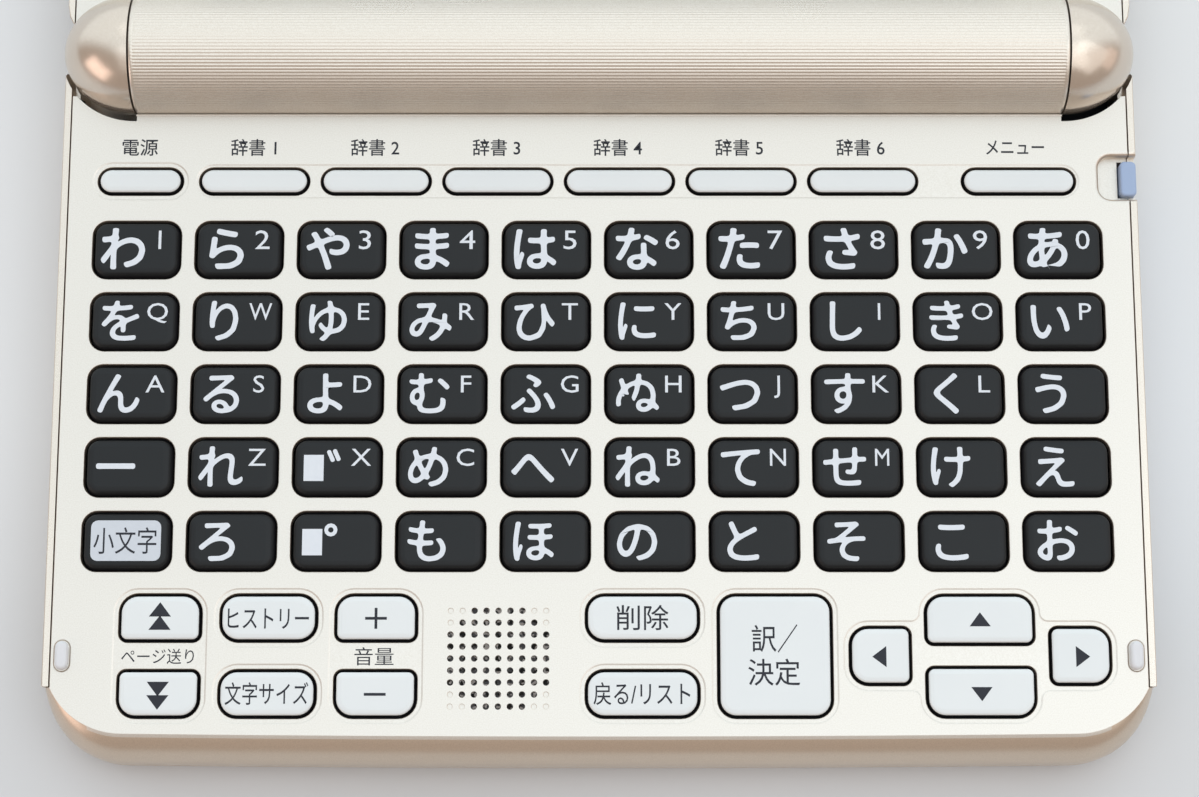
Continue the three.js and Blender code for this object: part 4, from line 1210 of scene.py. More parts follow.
@dataclass
class Lettering:
    """Everything that is printed on the keys and on the deck."""

    levels: Levels
    plans: KeyPlans
    pale_top: float
    dark_top: float
    ink: float = 0.014
    em_middle: tuple[float, float] = (0.49, 0.378)
    capital: float = 0.69
    kana_size: float = 6.2
    kana_shift: float = -1.72
    letter_size: float = 3.3
    letter_widths: tuple[tuple[str, float], ...] = (("WM", 0.88), ("N", 1.0), ("1IJ", 1.0),
                                                    ("23456789", 1.2))
    usual_width: float = 1.13
    digit_size: float = 3.7
    letter_shift: tuple[float, float] = (3.15, 1.22)
    label_rise: float = 4.7
    label_shift: float = -0.22
    kana_rows: tuple[tuple[str, str], ...] = (
        ("わらやまはなたさかあ", "1234567890"),
        ("をりゆみひにちしきい", "QWERTYUIOP"),
        ("んるよむふぬつすくう", "ASDFGHJKL "),
        ("ーれ゛めへねてせけえ", " ZXCVBNM  "),
        (" ろ゜もほのとそこお", "          "),
    )

    def put(self, film: Solid, x: float, y: float, z: float, middle: tuple[float, float] | None = None,
            turn: float = 0.0) -> Solid:
        """Places a film with its middle at a point.

        Args:
            film: the film, at the origin.
            x: the place across.
            y: the place along the depth.
            z: the level of the surface that it lies on.
            middle: its own middle, where that isn't the middle of its outline.
            turn: how far it is turned, in degrees.

        Returns:
            The film in its place.
        """
        bm = film.bm
        if middle is None:
            xs = [v.co.x for v in bm.verts]
            ys = [v.co.y for v in bm.verts]
            middle = ((min(xs) + max(xs)) / 2, (min(ys) + max(ys)) / 2)
        bmesh.ops.translate(bm, vec=(-middle[0], -middle[1], 0.0), verts=bm.verts)
        bmesh.ops.rotate(bm, cent=(0, 0, 0), matrix=Matrix.Rotation(math.radians(turn), 3, "Z"),
                         verts=bm.verts)
        bmesh.ops.translate(bm, vec=(x, y, z + self.ink), verts=bm.verts)
        return film

    def triangle(self, width: float, height: float) -> Solid:
        """A flat triangle that points up."""
        film = Solid()
        bmesh.ops.create_circle(film.bm, cap_ends=True, segments=3, radius=1.0)
        top = max(film.bm.verts, key=lambda v: v.co.y)
        rest = [v for v in film.bm.verts if v is not top]
        top.co = Vector((0.0, height / 2, 0.0))
        for side, vert in zip((-1, 1), sorted(rest, key=lambda v: v.co.x)):
            vert.co = Vector((side * width / 2, -height / 2, 0.0))
        return film

    def stroke(self, width: float, height: float, corner: float = 0.0) -> Solid:
        """A flat bar with its middle at the origin."""
        film = Solid()
        film.outline(Plan(0.0, 0.0, width, height, (corner,) * 4), 0.0, 4)
        return film

    def kana_films(self, column: int) -> Solid:
        """All the light legends of one column of dark keys."""
        films = Solid()
        for row, (signs, letters) in enumerate(self.kana_rows):
            plan = self.plans.kana(column, row)
            sign, letter = signs[column - 1], letters[column - 1]
            heavy = 0.13 if row == 0 else 0.085
            place = (plan.x + self.kana_shift, plan.y)
            if sign in "゛゜":
                films.absorb(self.put(self.stroke(2.6, 3.45), place[0] - 1.3, place[1] - 0.2,
                                      self.dark_top))
                if sign == "゛":
                    for across, along in ((0.92, 1.38), (1.68, 1.5)):
                        films.absorb(self.put(self.stroke(0.56, 1.66, 0.25), place[0] + across,
                                              place[1] + along, self.dark_top, turn=24.0))
                else:
                    films.absorb(self.put(printed(sign, 6.6, 0.1), place[0] + 1.1, place[1] + 1.4,
                                          self.dark_top))
            elif sign.strip():
                size = self.kana_size * (1.05 if row == 0 else 1.01)
                film = printed(sign, size, heavy, 1.0, 0.09)
                middle = (self.em_middle[0] * size, self.em_middle[1] * size)
                films.absorb(self.put(film, *place, self.dark_top, middle))
            if letter.strip():
                size = self.digit_size if letter.isdigit() else self.letter_size
                wide = next((w for those, w in self.letter_widths if letter in those),
                            self.usual_width)
                film = printed(letter, size, 0.0, wide)
                xs = [v.co.x for v in film.bm.verts]
                middle = ((min(xs) + max(xs)) / 2, self.capital * size / 2)
                films.absorb(self.put(film, plan.x + self.letter_shift[0],
                                      plan.y + self.letter_shift[1], self.dark_top, middle))
        return films

    def build_kana(self) -> None:
        """Prints the dark keys, and the inset grey plate of the first key in the last row."""
        for column in range(1, self.plans.sizes.columns + 1):
            body = f"kana_keys_column_{column}"
            make_piece(self.kana_films(column), f"legends_column_{column}", Finishes.WHITE_INK, body,
                       film=True)
        plan = self.plans.kana(1, 4)
        plate = self.put(self.stroke(9.1, 5.3, 0.9), plan.x, plan.y, self.dark_top)
        make_piece(plate, "small_letters_plate", Finishes.GREY_INK, "kana_keys_column_1", film=True)
        word = self.put(printed("小文字", 3.75, 0.0, 0.75), plan.x - 0.1, plan.y, self.dark_top + self.ink)
        make_piece(word, "small_letters_legend", Finishes.DARK_INK, "kana_keys_column_1", film=True)

    def build_key_words(self) -> None:
        """Prints the words on the pale keys."""
        words = {
            "history_key": (("ヒストリー", 3.2, 0.7, 0.0, -0.14),),
            "text_size_key": (("文字サイズ", 3.1, 0.7, 0.0, 0.0),),
            "delete_key": (("削除", 3.5, 1.0, 0.0, 0.0),),
            "back_key": (("戻る/リスト", 3.2, 0.76, -0.1, 0.0),),
            "enter_key": (("訳", 3.75, 0.9, -1.43, 2.2), ("／", 3.9, 0.7, 1.6, 2.2),
                          ("決定", 3.7, 0.93, -0.18, -2.15)),
        }
        for name, lines in words.items():
            plan = self.plans.pale(name)
            films = Solid()
            for text, size, narrow, across, along in lines:
                films.absorb(self.put(printed(text, size, 0.012, narrow), plan.x + across,
                                      plan.y + along, self.pale_top))
            make_piece(films, name + "_legend", Finishes.DARK_INK, name, film=True)

    def build_key_signs(self) -> None:
        """Prints the triangles, the plus and the minus."""
        arrows = {"arrow_up_key": (Sign.UP, 0.0, 0.0), "arrow_down_key": (Sign.DOWN, 0.0, -0.3),
                  "arrow_left_key": (Sign.LEFT, -0.2, -0.15),
                  "arrow_right_key": (Sign.RIGHT, 0.25, -0.15)}
        for name, (sign, across, along) in arrows.items():
            plan = self.plans.pale(name)
            film = self.put(self.triangle(2.72, 1.82), plan.x + across, plan.y + along,
                            self.pale_top, (0.0, 0.0), sign.value)
            make_piece(film, name + "_legend", Finishes.DARK_INK, name, film=True)
        for name, sign, along in (("page_up_key", Sign.UP, 0.2), ("page_down_key", Sign.DOWN, -0.28)):
            plan = self.plans.pale(name)
            films = Solid()
            for rise in (-0.86, 0.86):
                films.absorb(self.put(self.triangle(2.85, 1.86), plan.x, plan.y + along + rise,
                                      self.pale_top, (0.0, 0.0), sign.value))
            make_piece(films, name + "_legend", Finishes.DARK_INK, name, film=True)
        for name in ("volume_up_key", "volume_down_key"):
            plan = self.plans.pale(name)
            films = self.put(self.stroke(2.8, 0.36), plan.x, plan.y - 0.1, self.pale_top)
            if name == "volume_up_key":
                for side in (-1, 1):
                    films.absorb(self.put(self.stroke(0.36, 1.18), plan.x, plan.y - 0.1 + side * 0.77,
                                          self.pale_top))
            make_piece(films, name + "_legend", Finishes.DARK_INK, name, film=True)

    def build_deck_words(self) -> None:
        """Prints the words on the deck, with plain numbers over the six function keys."""
        labels = {"power_key": ("電源", 2.5, 1.0, 0.0), "menu_key": ("メニュー", 2.46, 0.83, -0.12)}
        labels |= {f"function_key_{n}": (f"辞書 {n}", 2.5, 0.95, 0.0) for n in range(1, 7)}
        films = Solid()
        for name, (text, size, narrow, across) in labels.items():
            plan = self.plans.pale(name)
            films.absorb(self.put(printed(text, size, 0.02, narrow), plan.x + self.label_shift + across,
                                  plan.y + self.label_rise, self.levels.deck))
        floor = self.levels.deck - self.plans.sizes.surround_depth
        for pair, text, size, narrow in (("page", "ページ送り", 2.15, 0.92), ("volume", "音量", 2.52, 1.06)):
            upper, lower = (self.plans.pale(f"{pair}_{way}_key") for way in ("up", "down"))
            films.absorb(self.put(printed(text, size, 0.0, narrow), upper.x + self.label_shift,
                                  (upper.y + lower.y) / 2 - 0.06, floor))
        make_piece(films, "deck_legends", Finishes.DARK_INK, "base", film=True)

    def build(self) -> None:
        """Prints everything."""
        self.build_kana()
        self.build_key_words()
        self.build_key_signs()
        self.build_deck_words()


@dataclass
class Keyboard:
    """The pale keys and the dark keys in columns."""

    levels: Levels
    plans: KeyPlans
    pale_proud: float = 0.45
    pale_round: float = 0.32
    dark_round: float = 0.55
    dark_proud: float = 0.7
    flange_drop: float = 0.3
    flange_thickness: float = 1.6

    def build(self) -> None:
        """Builds every key and prints its legend."""
        for name in PILLS + LOWER_KEYS:
            self.build_pale(name)
        for column in range(1, self.plans.sizes.columns + 1):
            self.build_column(column)
        deck = self.levels.deck
        Lettering(self.levels, self.plans, deck + self.pale_proud, deck + self.dark_proud).build()

    def cap(self, plan: Plan, draft: float, top: float, bottom: float, rounding: float) -> Solid:
        """One cap, drafted, with a rounded edge and a hardly domed top.

        Args:
            plan: its own figure at its foot.
            draft: how far its walls lean in.
            top: the level of its top.
            bottom: the level where it begins.
            rounding: the radius of its upper edge.

        Returns:
            The cap.
        """
        solid = Solid()
        under = solid.outline(plan, bottom, 7)
        crown = ((0.24, 0.065), (0.2, 0.02))
        wall = top - rounding - sum(rise for _, rise in crown) - bottom
        upper = solid.lift(under, wall * 0.5)
        solid.turn_down(under)
        solid.step(upper, draft, wall * 0.5)
        solid.round_over(upper, rounding, 5)
        for inward, rise in crown:
            solid.step(upper, inward, rise)
        return solid

    def build_pale(self, name: str) -> None:
        """Builds one pale key on its black rubber flange."""
        sizes, at = self.plans.sizes, self.levels
        plan = self.plans.pale(name)
        flange_top = at.under - self.flange_drop
        top = at.deck + self.pale_proud
        solid = self.cap(plan.grown(-sizes.pale_gap), sizes.pale_draft, top, flange_top - 0.2,
                         self.pale_round)
        solid.absorb(Solid.slab(plan.grown(sizes.flange), flange_top - self.flange_thickness,
                                flange_top))
        # Below its rounded edge the cap is black like its rubber flange, which also paints the shade on
        # its wall.
        skirt_top = top - self.pale_round - 0.1
        make_piece(solid, name + "_cap", Finishes.PALE_KEY, name, (name,), others=(
            (Finishes.BLACK_RUBBER_AND_PAINTED_SHADE, lambda face: face.calc_center_median().z < skirt_top),))

    def build_column(self, column: int) -> None:
        """Builds one column of dark caps on its strip."""
        sizes, at = self.plans.sizes, self.levels
        body = f"kana_keys_column_{column}"
        low, high = box_of(body)
        flange_top = at.under - self.flange_drop
        strip = Plan((low.x + high.x) / 2, (low.y + high.y) / 2, high.x - low.x, high.y - low.y,
                     (0.5,) * 4)
        solid = Solid.slab(strip, flange_top - self.flange_thickness, flange_top)
        for row in range(sizes.rows):
            plan = self.plans.kana(column, row)
            solid.absorb(self.cap(plan.grown(-sizes.gap), sizes.draft, at.deck + self.dark_proud,
                                  flange_top - 0.2, self.dark_round))
        make_piece(solid, body + "_caps", Finishes.DARK_KEY, body, (body,), others=(
            (Finishes.BLACK_RUBBER_AND_PAINTED_SHADE, lambda face: face.calc_center_median().z < at.deck - 0.1),))


# The base


@dataclass
class BaseHalf:
    """The keyboard half: bottom case, deck, grille, notch and everything fixed to them."""

    levels: Levels
    plans: KeyPlans
    rear: float = 4.9
    rear_corner: float = 6.0
    floor: float = 1.4
    skirt: float = 2.3
    deck_gap: float = 0.05
    door_lip: float = 2.0
    hole_radius: float = 0.42
    hole_pitch: float = 1.545
    blind_depth: float = 0.14
    bead_radius: float = 0.18
    bead_height: float = 0.09
    notch_half: float = 2.95
    notch_width: float = 5.05
    notch_depth: float = 1.5
    notch_corner: float = 1.6
    notch_wall: float = 1.0
    shell: HalfShell = field(init=False)

    def __post_init__(self) -> None:
        """Works out the outer form."""
        self.shell = HalfShell(End.BASE, self.levels, self.levels.bottom, -self.rear,
                               self.rear_corner, roll=5.8, bottom_round=2.6)

    @property
    def notch_y(self) -> float:
        """The middle of the finger notch, where the stylus head stands."""
        head = box_of("stylus")[1].y
        return head - 2.75

    @property
    def notch_floor(self) -> float:
        """The level of the notch's floor."""
        return self.levels.deck - self.notch_depth

    def notch(self) -> Solid:
        """The straight-sided notch with a soft rim, cut down through the deck and out of the side."""
        at = self.levels
        left = at.half_width - self.notch_width
        width = self.notch_width + CLEAR
        plan = Plan(left + width / 2, self.notch_y, width, 2 * self.notch_half,
                    (0.0, self.notch_corner, self.notch_corner, 0.0))
        return Solid.well(plan, at.deck, self.notch_floor, 0.6, 8)

    def stylus_room(self) -> list[Solid]:
        """The groove for the stylus, and the slot for its head."""
        at = self.levels
        low, high = box_of("stylus")
        x0, x1 = low.x - at.clearance, at.half_width + CLEAR
        bar_top = low.z + 3.4
        return [
            Solid.block(x0, x1, low.y - at.clearance, high.y + at.clearance,
                        low.z - at.clearance, bar_top + at.clearance),
            Solid.block(x0 + 0.8, x1, self.notch_y - 2.5, self.notch_y + 2.5, low.z, at.deck + CLEAR),
        ]

    def surrounds(self) -> Solid:
        """The shallow dished surrounds of the pale keys, as one body to cut with."""
        sizes, pale = self.plans.sizes, self.plans.pale
        margin = sizes.surround
        figures = [
            pale("power_key").grown(margin),
            around(pale("function_key_1"), pale("menu_key"), margin * 0.62),
            around(pale("page_up_key"), pale("page_down_key"), margin),
            around(pale("volume_up_key"), pale("volume_down_key"), margin),
        ]
        figures += [pale(name).grown(margin)
                    for name in ("history_key", "text_size_key", "delete_key", "back_key", "enter_key")]
        body = Solid()
        for plan in figures:
            body.absorb(self.dish(plan))
        return body.absorb(self.cross_dish())

    def dish(self, plan: Plan) -> Solid:
        """One dished surround: a shallow slope in from its line, and a flat floor."""
        sizes = self.plans.sizes
        solid = Solid()
        rim = solid.outline(plan, self.levels.deck, 8)
        solid.lift(rim, 1.0)
        solid.turn_down(rim)
        solid.step(rim, sizes.surround_slope, sizes.surround_depth)
        return solid

    def cross_dish(self) -> Solid:
        """The dished surround of the four arrow keys, in the shape of a plus."""
        sizes, pale = self.plans.sizes, self.plans.pale
        tall = around(pale("arrow_up_key"), pale("arrow_down_key"), sizes.surround)
        wide = around(pale("arrow_left_key"), pale("arrow_right_key"), sizes.surround)
        solid = Solid()
        bm = solid.bm
        bmesh.ops.create_grid(bm, x_segments=3, y_segments=3, size=1.5)
        outer = [f for f in bm.faces if min(abs(f.calc_center_median().x),
                                            abs(f.calc_center_median().y)) > 0.5]
        bmesh.ops.delete(bm, geom=outer, context="FACES")
        for vert in bm.verts:
            across = wide.width if abs(vert.co.x) > 1.0 else tall.width
            along = tall.depth if abs(vert.co.y) > 1.0 else wide.depth
            vert.co = Vector((tall.x + math.copysign(across / 2, vert.co.x),
                              tall.y + math.copysign(along / 2, vert.co.y), self.levels.deck))
        bmesh.ops.dissolve_faces(bm, faces=bm.faces, use_verts=False)
        inner = [v for v in bm.verts if abs(abs(v.co.x - tall.x) - tall.width / 2) < 1e-3
                 and abs(abs(v.co.y - tall.y) - wide.depth / 2) < 1e-3]
        outer = [v for v in bm.verts if v not in inner]
        radius = sizes.outward + sizes.surround
        bmesh.ops.bevel(bm, geom=outer, offset=radius, offset_type="OFFSET", segments=8,
                        profile=0.5, affect="VERTICES", material=-1)
        inner = [v for v in bm.verts if abs(abs(v.co.x - tall.x) - tall.width / 2) < 1e-3
                 and abs(abs(v.co.y - tall.y) - wide.depth / 2) < 1e-3]
        bmesh.ops.bevel(bm, geom=inner, offset=1.0, offset_type="OFFSET", segments=6,
                        profile=0.5, affect="VERTICES", material=-1)
        bm.faces.ensure_lookup_table()
        rim = bm.faces[0]
        rim.normal_update()
        if rim.normal.z < 0.0:
            rim.normal_flip()
        solid.lift(rim, 1.0)
        solid.turn_down(rim)
        solid.step(rim, sizes.surround_slope, sizes.surround_depth)
        return solid

    def key_holes(self) -> Solid:
        """All key holes as one body to cut with."""
        at, sizes = self.levels, self.plans.sizes
        body = Solid()
        for name in PILLS + LOWER_KEYS:
            body.absorb(Solid.well(self.plans.pale(name), at.deck - sizes.surround_depth,
                                   at.under - 1.0, sizes.hole_rim, 7))
        for plan in self.plans.all_kana():
            body.absorb(Solid.well(plan, at.deck, at.under - 1.0, sizes.kana_hole_rim, 7))
        return body

    @property
    def grille_centre(self) -> tuple[float, float]:
        """The middle of the speaker grille."""
        low, high = box_of("speaker")
        return (low.x + high.x) / 2, (low.y + high.y) / 2

    def grille(self) -> Solid:
        """The holes over the speaker, with three blind dimples in each corner of the square."""
        at = self.levels
        x, y = self.grille_centre
        body = Solid()
        for i in range(-4, 5):
            for j in range(-4, 5):
                place = (x + i * self.hole_pitch, y + j * self.hole_pitch)
                if abs(i) + abs(j) < 7:
                    body.absorb(Solid.post(self.hole_radius, *place, at.under - 0.3, at.deck + 0.3, 16))
                else:
                    body.absorb(Solid.post(self.hole_radius * 0.8, *place, at.deck - self.blind_depth,
                                           at.deck + 0.3, 16, self.hole_radius * 1.15))
        return body

    def bumper_seats(self) -> list[Solid]:
        """The shallow seats that the two bumpers are glued into."""
        seats = []
        for side in ("left", "right"):
            low, high = box_of(f"bumper_{side}")
            plan = Plan((low.x + high.x) / 2, (low.y + high.y) / 2, high.x - low.x, high.y - low.y,
                        ((high.x - low.x) / 2,) * 4)
            seats.append(Solid.well(plan.grown(-0.02), self.levels.deck,
                                    max(low.z, self.levels.deck - 0.4) + 0.002, 0.2, 8))
        return seats

    def in_shade(self, face: bmesh.types.BMFace) -> bool:
        """Whether a face lines a dome's recess or the inside; these are painted black as painted shade.
        """
        at = self.levels
        middle = face.calc_center_median()
        across = (abs(middle.x) - at.dome_x) / (at.dome_length + at.dome_side_gap)
        radius = at.barrel_radius + at.dome_gap
        round_it = Vector((across, middle.y / radius, (middle.z - at.axis) / radius)).length
        lines_recess = abs(middle.x) > at.dome_x - 0.5 and 0.97 < round_it < 1.02
        below = middle.z < at.deck - 0.8
        hidden = below and face.normal.z > 0.5 and middle.y > -12.0
        looks_in = below and face.normal.x * math.copysign(1.0, middle.x) < -0.5
        return lines_recess or hidden or looks_in

    def in_shade_of_tray(self, face: bmesh.types.BMFace) -> bool:
        """Whether a face of the bottom case is in shade; its rim beside the domes is lacquered."""
        return self.in_shade(face) and abs(face.calc_center_median().x) < self.levels.half_width - 2.4

    def is_steep(self, face: bmesh.types.BMFace) -> bool:
        """Whether a face stands steeply or looks down; these get the tan copy of the lacquer as painted
        shade.
        """
        return face.normal.z < 0.88

    def build_deck(self) -> None:
        """Builds the deck with its key holes, surrounds, grille and notch."""
        at, shell = self.levels, self.shell
        seam_level = at.deck - shell.roll_drop - at.clearance
        room = shell.region(0.0, -self.rear, seam_level, 0.12).combine(Combine.ADD,
                                                                      shell.past_tip(seam_level))
        deck = shell.form().combine(Combine.KEEP, room)
        deck.combine(Combine.CUT, shell.plate_hollow(-CLEAR, at.bottom - CLEAR),
                     Solid.block(-BEYOND, BEYOND, -(at.reach - shell.corner), CLEAR, at.bottom,
                                 at.deck - self.skirt))
        cup = Solid.block(at.half_width - self.notch_width - self.notch_wall,
                          at.half_width - shell.wall - at.clearance,
                          self.notch_y - self.notch_half - self.notch_wall,
                          self.notch_y + self.notch_half + self.notch_wall,
                          self.notch_floor - 0.5, at.under + 0.05)
        deck.combine(Combine.ADD, cup)
        deck.combine(Combine.CUT, self.notch(), *self.stylus_room())
        barrel = at.barrel_radius + self.deck_gap
        deck.combine(Combine.CUT, Solid.rod(barrel, -at.dome_x + at.clearance,
                                            at.dome_x - at.clearance, at.axis, 192))
        deck.combine(Combine.CUT, Solid.block(-at.half_width, at.half_width,
                                              -at.barrel_radius * 0.7, CLEAR, at.bottom,
                                              at.deck + CLEAR))
        deck.combine(Combine.CUT, *dome_room(at))
        deck.soften(lambda edge: edge.calc_length() > 60.0
                    and all(abs(v.co.z - at.deck) < 1e-3 and -8.4 < v.co.y < -7.8 for v in edge.verts),
                    0.08, 3)
        bead = Solid.rod(self.bead_radius, -at.barrel_half, at.barrel_half,
                         at.deck - self.bead_radius + self.bead_height, 24)
        bmesh.ops.translate(bead.bm, vec=(0.0, -barrel - self.bead_radius, 0.0), verts=bead.bm.verts)
        bead_front = -barrel - 2 * self.bead_radius - 0.05
        deck.combine(Combine.ADD, bead)
        deck.combine(Combine.CUT, self.surrounds(), self.key_holes(), self.grille(),
                     *self.bumper_seats())
        slope = math.degrees(math.atan2(self.plans.sizes.surround_depth,
                                        self.plans.sizes.surround_slope))
        # Recess and inner faces are painted black as painted shade; steep faces get the tan copy of the
        # lacquer
        # as painted shade and reflection, except the bead and the strip behind it, which keep the pale
        # deck paint.
        make_piece(deck, "deck", Finishes.DECK, "base", ("base_deck",),
                   Shading(creases=(slope,), width=0.8),
                   others=((Finishes.BLACK_RUBBER_AND_PAINTED_SHADE, self.in_shade),
                           (Finishes.DECK, lambda face: face.calc_center_median().y > bead_front),
                           (Finishes.GOLD_WITH_PAINTED_SHADE, self.is_steep)))

    def build_bottom_case(self) -> None:
        """Builds the bottom case: the tray, its thin rim beside the deck, and what it carries."""
        at, shell = self.levels, self.shell
        floor_top = at.bottom + self.floor
        seam_level = at.deck - shell.roll_drop - 2 * at.clearance
        ledge = at.deck - self.skirt - at.clearance
        hollow = shell.tray_hollow(floor_top, -3.9 + 1.3)
        case = shell.form(rolled=False).combine(Combine.CUT, hollow,
                                                shell.past_tip(seam_level, shell.seam),
                                                shell.region(shell.seam, -CLEAR, ledge))
        front = Solid.block(-BEYOND, BEYOND, -BEYOND, -(at.reach - shell.corner) + at.clearance,
                            at.bottom, at.deck + CLEAR)
        case.combine(Combine.CUT, shell.region(shell.seam, -CLEAR, seam_level)
                     .combine(Combine.KEEP, front))
        case.combine(Combine.CUT, Solid.block(-BEYOND, BEYOND, -self.door_lip, CLEAR,
                                              floor_top + self.door_lip, at.deck + CLEAR))
        door_low, door_high = box_of("battery_door")
        saddle_inner = door_high.x + at.clearance + 0.5
        for side in (-1, 1):
            x0, x1 = sorted((side * saddle_inner, side * (at.barrel_half - 0.4)))
            case.combine(Combine.ADD, Solid.block(x0, x1, -8.0, 3.9, floor_top - 0.05,
                                                  at.axis - at.barrel_radius / 2))
        low, high = box_of("stylus")
        channel_x = low.x - at.clearance - 1.4
        case.combine(Combine.ADD, Solid.block(channel_x, at.half_width - 0.8,
                                              low.y - at.clearance - 1.4,
                                              high.y + at.clearance + 1.4, floor_top - 0.05,
                                              self.notch_floor - 0.5 - at.clearance))
        for screw in range(1, 5):
            s_low, s_high = box_of(f"case_screw_{screw}")
            x, y = (s_low.x + s_high.x) / 2, (s_low.y + s_high.y) / 2
            board_low, _ = box_of("main_circuit_board")
            case.combine(Combine.ADD, Solid.post(2.8, x, y, floor_top - 0.05,
                                                 board_low.z - at.clearance, 32))
        case.combine(Combine.CUT, Solid.rod(at.barrel_radius + at.clearance,
                                            -at.dome_x + at.clearance, at.dome_x - at.clearance,
                                            at.axis, 128))
        case.combine(Combine.CUT, *dome_room(at), *self.stylus_room(), self.notch())
        for screw in range(1, 5):
            s_low, s_high = box_of(f"case_screw_{screw}")
            x, y = (s_low.x + s_high.x) / 2, (s_low.y + s_high.y) / 2
            case.combine(Combine.CUT, Solid.post(1.3, x, y, at.bottom, at.deck, 32),
                         Solid.post(2.4, x, y, at.bottom - CLEAR, floor_top, 32))
        plate = door_low.z + 0.8 - at.clearance
        outer_half = door_high.x - 1.2
        case.combine(Combine.CUT,
                     Solid.block(-outer_half - at.clearance, outer_half + at.clearance,
                                 door_low.y - at.clearance, CLEAR, at.bottom - CLEAR, plate + 0.05),
                     Solid.block(-door_high.x - at.clearance, door_high.x + at.clearance,
                                 door_low.y - at.clearance, CLEAR, plate,
                                 floor_top + self.door_lip + at.clearance))
        # Recess faces are painted black and steep faces get the tan copy of the lacquer: both painted
        # shade.
        make_piece(case, "bottom_case", Finishes.SHELL, "base", ("base_bottom_case",),
                   Shading(creases=(self.shell.roll_start / 4,), width=0.8),
                   others=((Finishes.BLACK_RUBBER_AND_PAINTED_SHADE, self.in_shade_of_tray), (Finishes.GOLD_WITH_PAINTED_SHADE, self.is_steep)))

    def build_grille_cloth(self) -> None:
        """Builds the cloth behind the grille, and dresses the speaker below it."""
        at = self.levels
        x, y = self.grille_centre
        half = 4.6 * self.hole_pitch
        plan = Plan(x, y, 2 * half, 2 * half, (1.0,) * 4)
        cloth = Solid.slab(plan, at.under - 0.26, at.under - 0.04, 0.05)
        make_piece(cloth, "grille_cloth", Finishes.CLOTH, "base")
        dress_node("speaker", Finishes.STEEL)

    def build(self) -> None:
        """Builds the base and dresses what stays inside it."""
        self.build_deck()
        self.build_bottom_case()
        self.build_grille_cloth()
        dress_node("main_circuit_board", Finishes.BOARD)
        dress_node("key_rubber_mat", Finishes.RUBBER)


@dataclass
class HingeBarrel:
    """The ribbed barrel that holds the batteries, and what lies in it."""

    levels: Levels
    ribs: int = 114
    groove: float = 0.062
    plain_end: float = 0.55
    end_round: float = 0.12
    bay_radius: float = 5.55
    bay_half: float = 49.5
    slot_half: float = 4.8
    bore_radius: float = 2.5
    shaft_in: float = 7.6

    def ribbed(self) -> Solid:
        """The outside: fine rounded ribs along it, and a plain ring at each end.

        Returns:
            The closed bar.
        """
        at = self.levels
        solid = Solid()
        bm = solid.bm
        bmesh.ops.create_circle(bm, cap_ends=True, segments=self.ribs * 6, radius=1.0,
                                matrix=Matrix.Rotation(math.pi / 2, 4, "Y"))
        depths = (0.0, 0.11, 0.44, 1.0, 0.44, 0.11)
        order = sorted(bm.verts, key=lambda v: math.atan2(v.co.y, v.co.z))
        share = {v: depths[i % 6] for i, v in enumerate(order)}
        direction = {v: Vector((0.0, v.co.y, v.co.z)).normalized() for v in order}
        half, end = at.barrel_half, self.plain_end
        stations = ((-half, self.end_round, 0.0), (-half + self.end_round, 0.0, 0.0),
                    (-half + end, 0.0, 0.0), (-half + end + 0.05, 0.0, 1.0),
                    (half - end - 0.05, 0.0, 1.0), (half - end, 0.0, 0.0),
                    (half - self.end_round, 0.0, 0.0), (half, self.end_round, 0.0))
        face = bm.faces[:][0]
        for number, (x, inset, ribbing) in enumerate(stations):
            if number:
                by_place = {tuple(round(c, 4) for c in v.co): v for v in face.verts}
                face = solid.lift(face, 0.0)
                for vert in face.verts:
                    old = by_place[tuple(round(c, 4) for c in vert.co)]
                    share[vert], direction[vert] = share[old], direction[old]
            for vert in face.verts:
                radius = at.barrel_radius - inset - self.groove * share[vert] * ribbing
                vert.co = Vector((x, 0.0, at.axis)) + direction[vert] * radius
        return solid

    def build(self) -> None:
        """Builds the barrel and dresses the batteries, contacts, shafts and cable."""
        at = self.levels
        barrel = self.ribbed()
        shaft_end = at.dome_x - self.shaft_in - at.clearance
        barrel.combine(
            Combine.CUT,
            Solid.rod(self.bay_radius, -self.bay_half, self.bay_half, at.axis, 64),
            Solid.block(-self.bay_half, self.bay_half, -self.slot_half, self.slot_half, at.bottom,
                        at.axis),
            Solid.rod(self.bore_radius, shaft_end, at.barrel_half + CLEAR, at.axis, 32),
            Solid.rod(self.bore_radius, -at.barrel_half - CLEAR, -shaft_end, at.axis, 32))
        make_piece(barrel, "ribbed_barrel", Finishes.SHELL, "base", ("hinge_barrel",),
                   Shading(sharp=48.0))
        for node in ("battery_left", "battery_right"):
            dress_node(node, Finishes.CAN)
        for node in ("battery_plate_contact", "battery_spring_contact", "hinge_shaft_left",
                     "hinge_shaft_right"):
            dress_node(node, Finishes.STEEL)
        dress_node("display_cable", Finishes.JACKET)


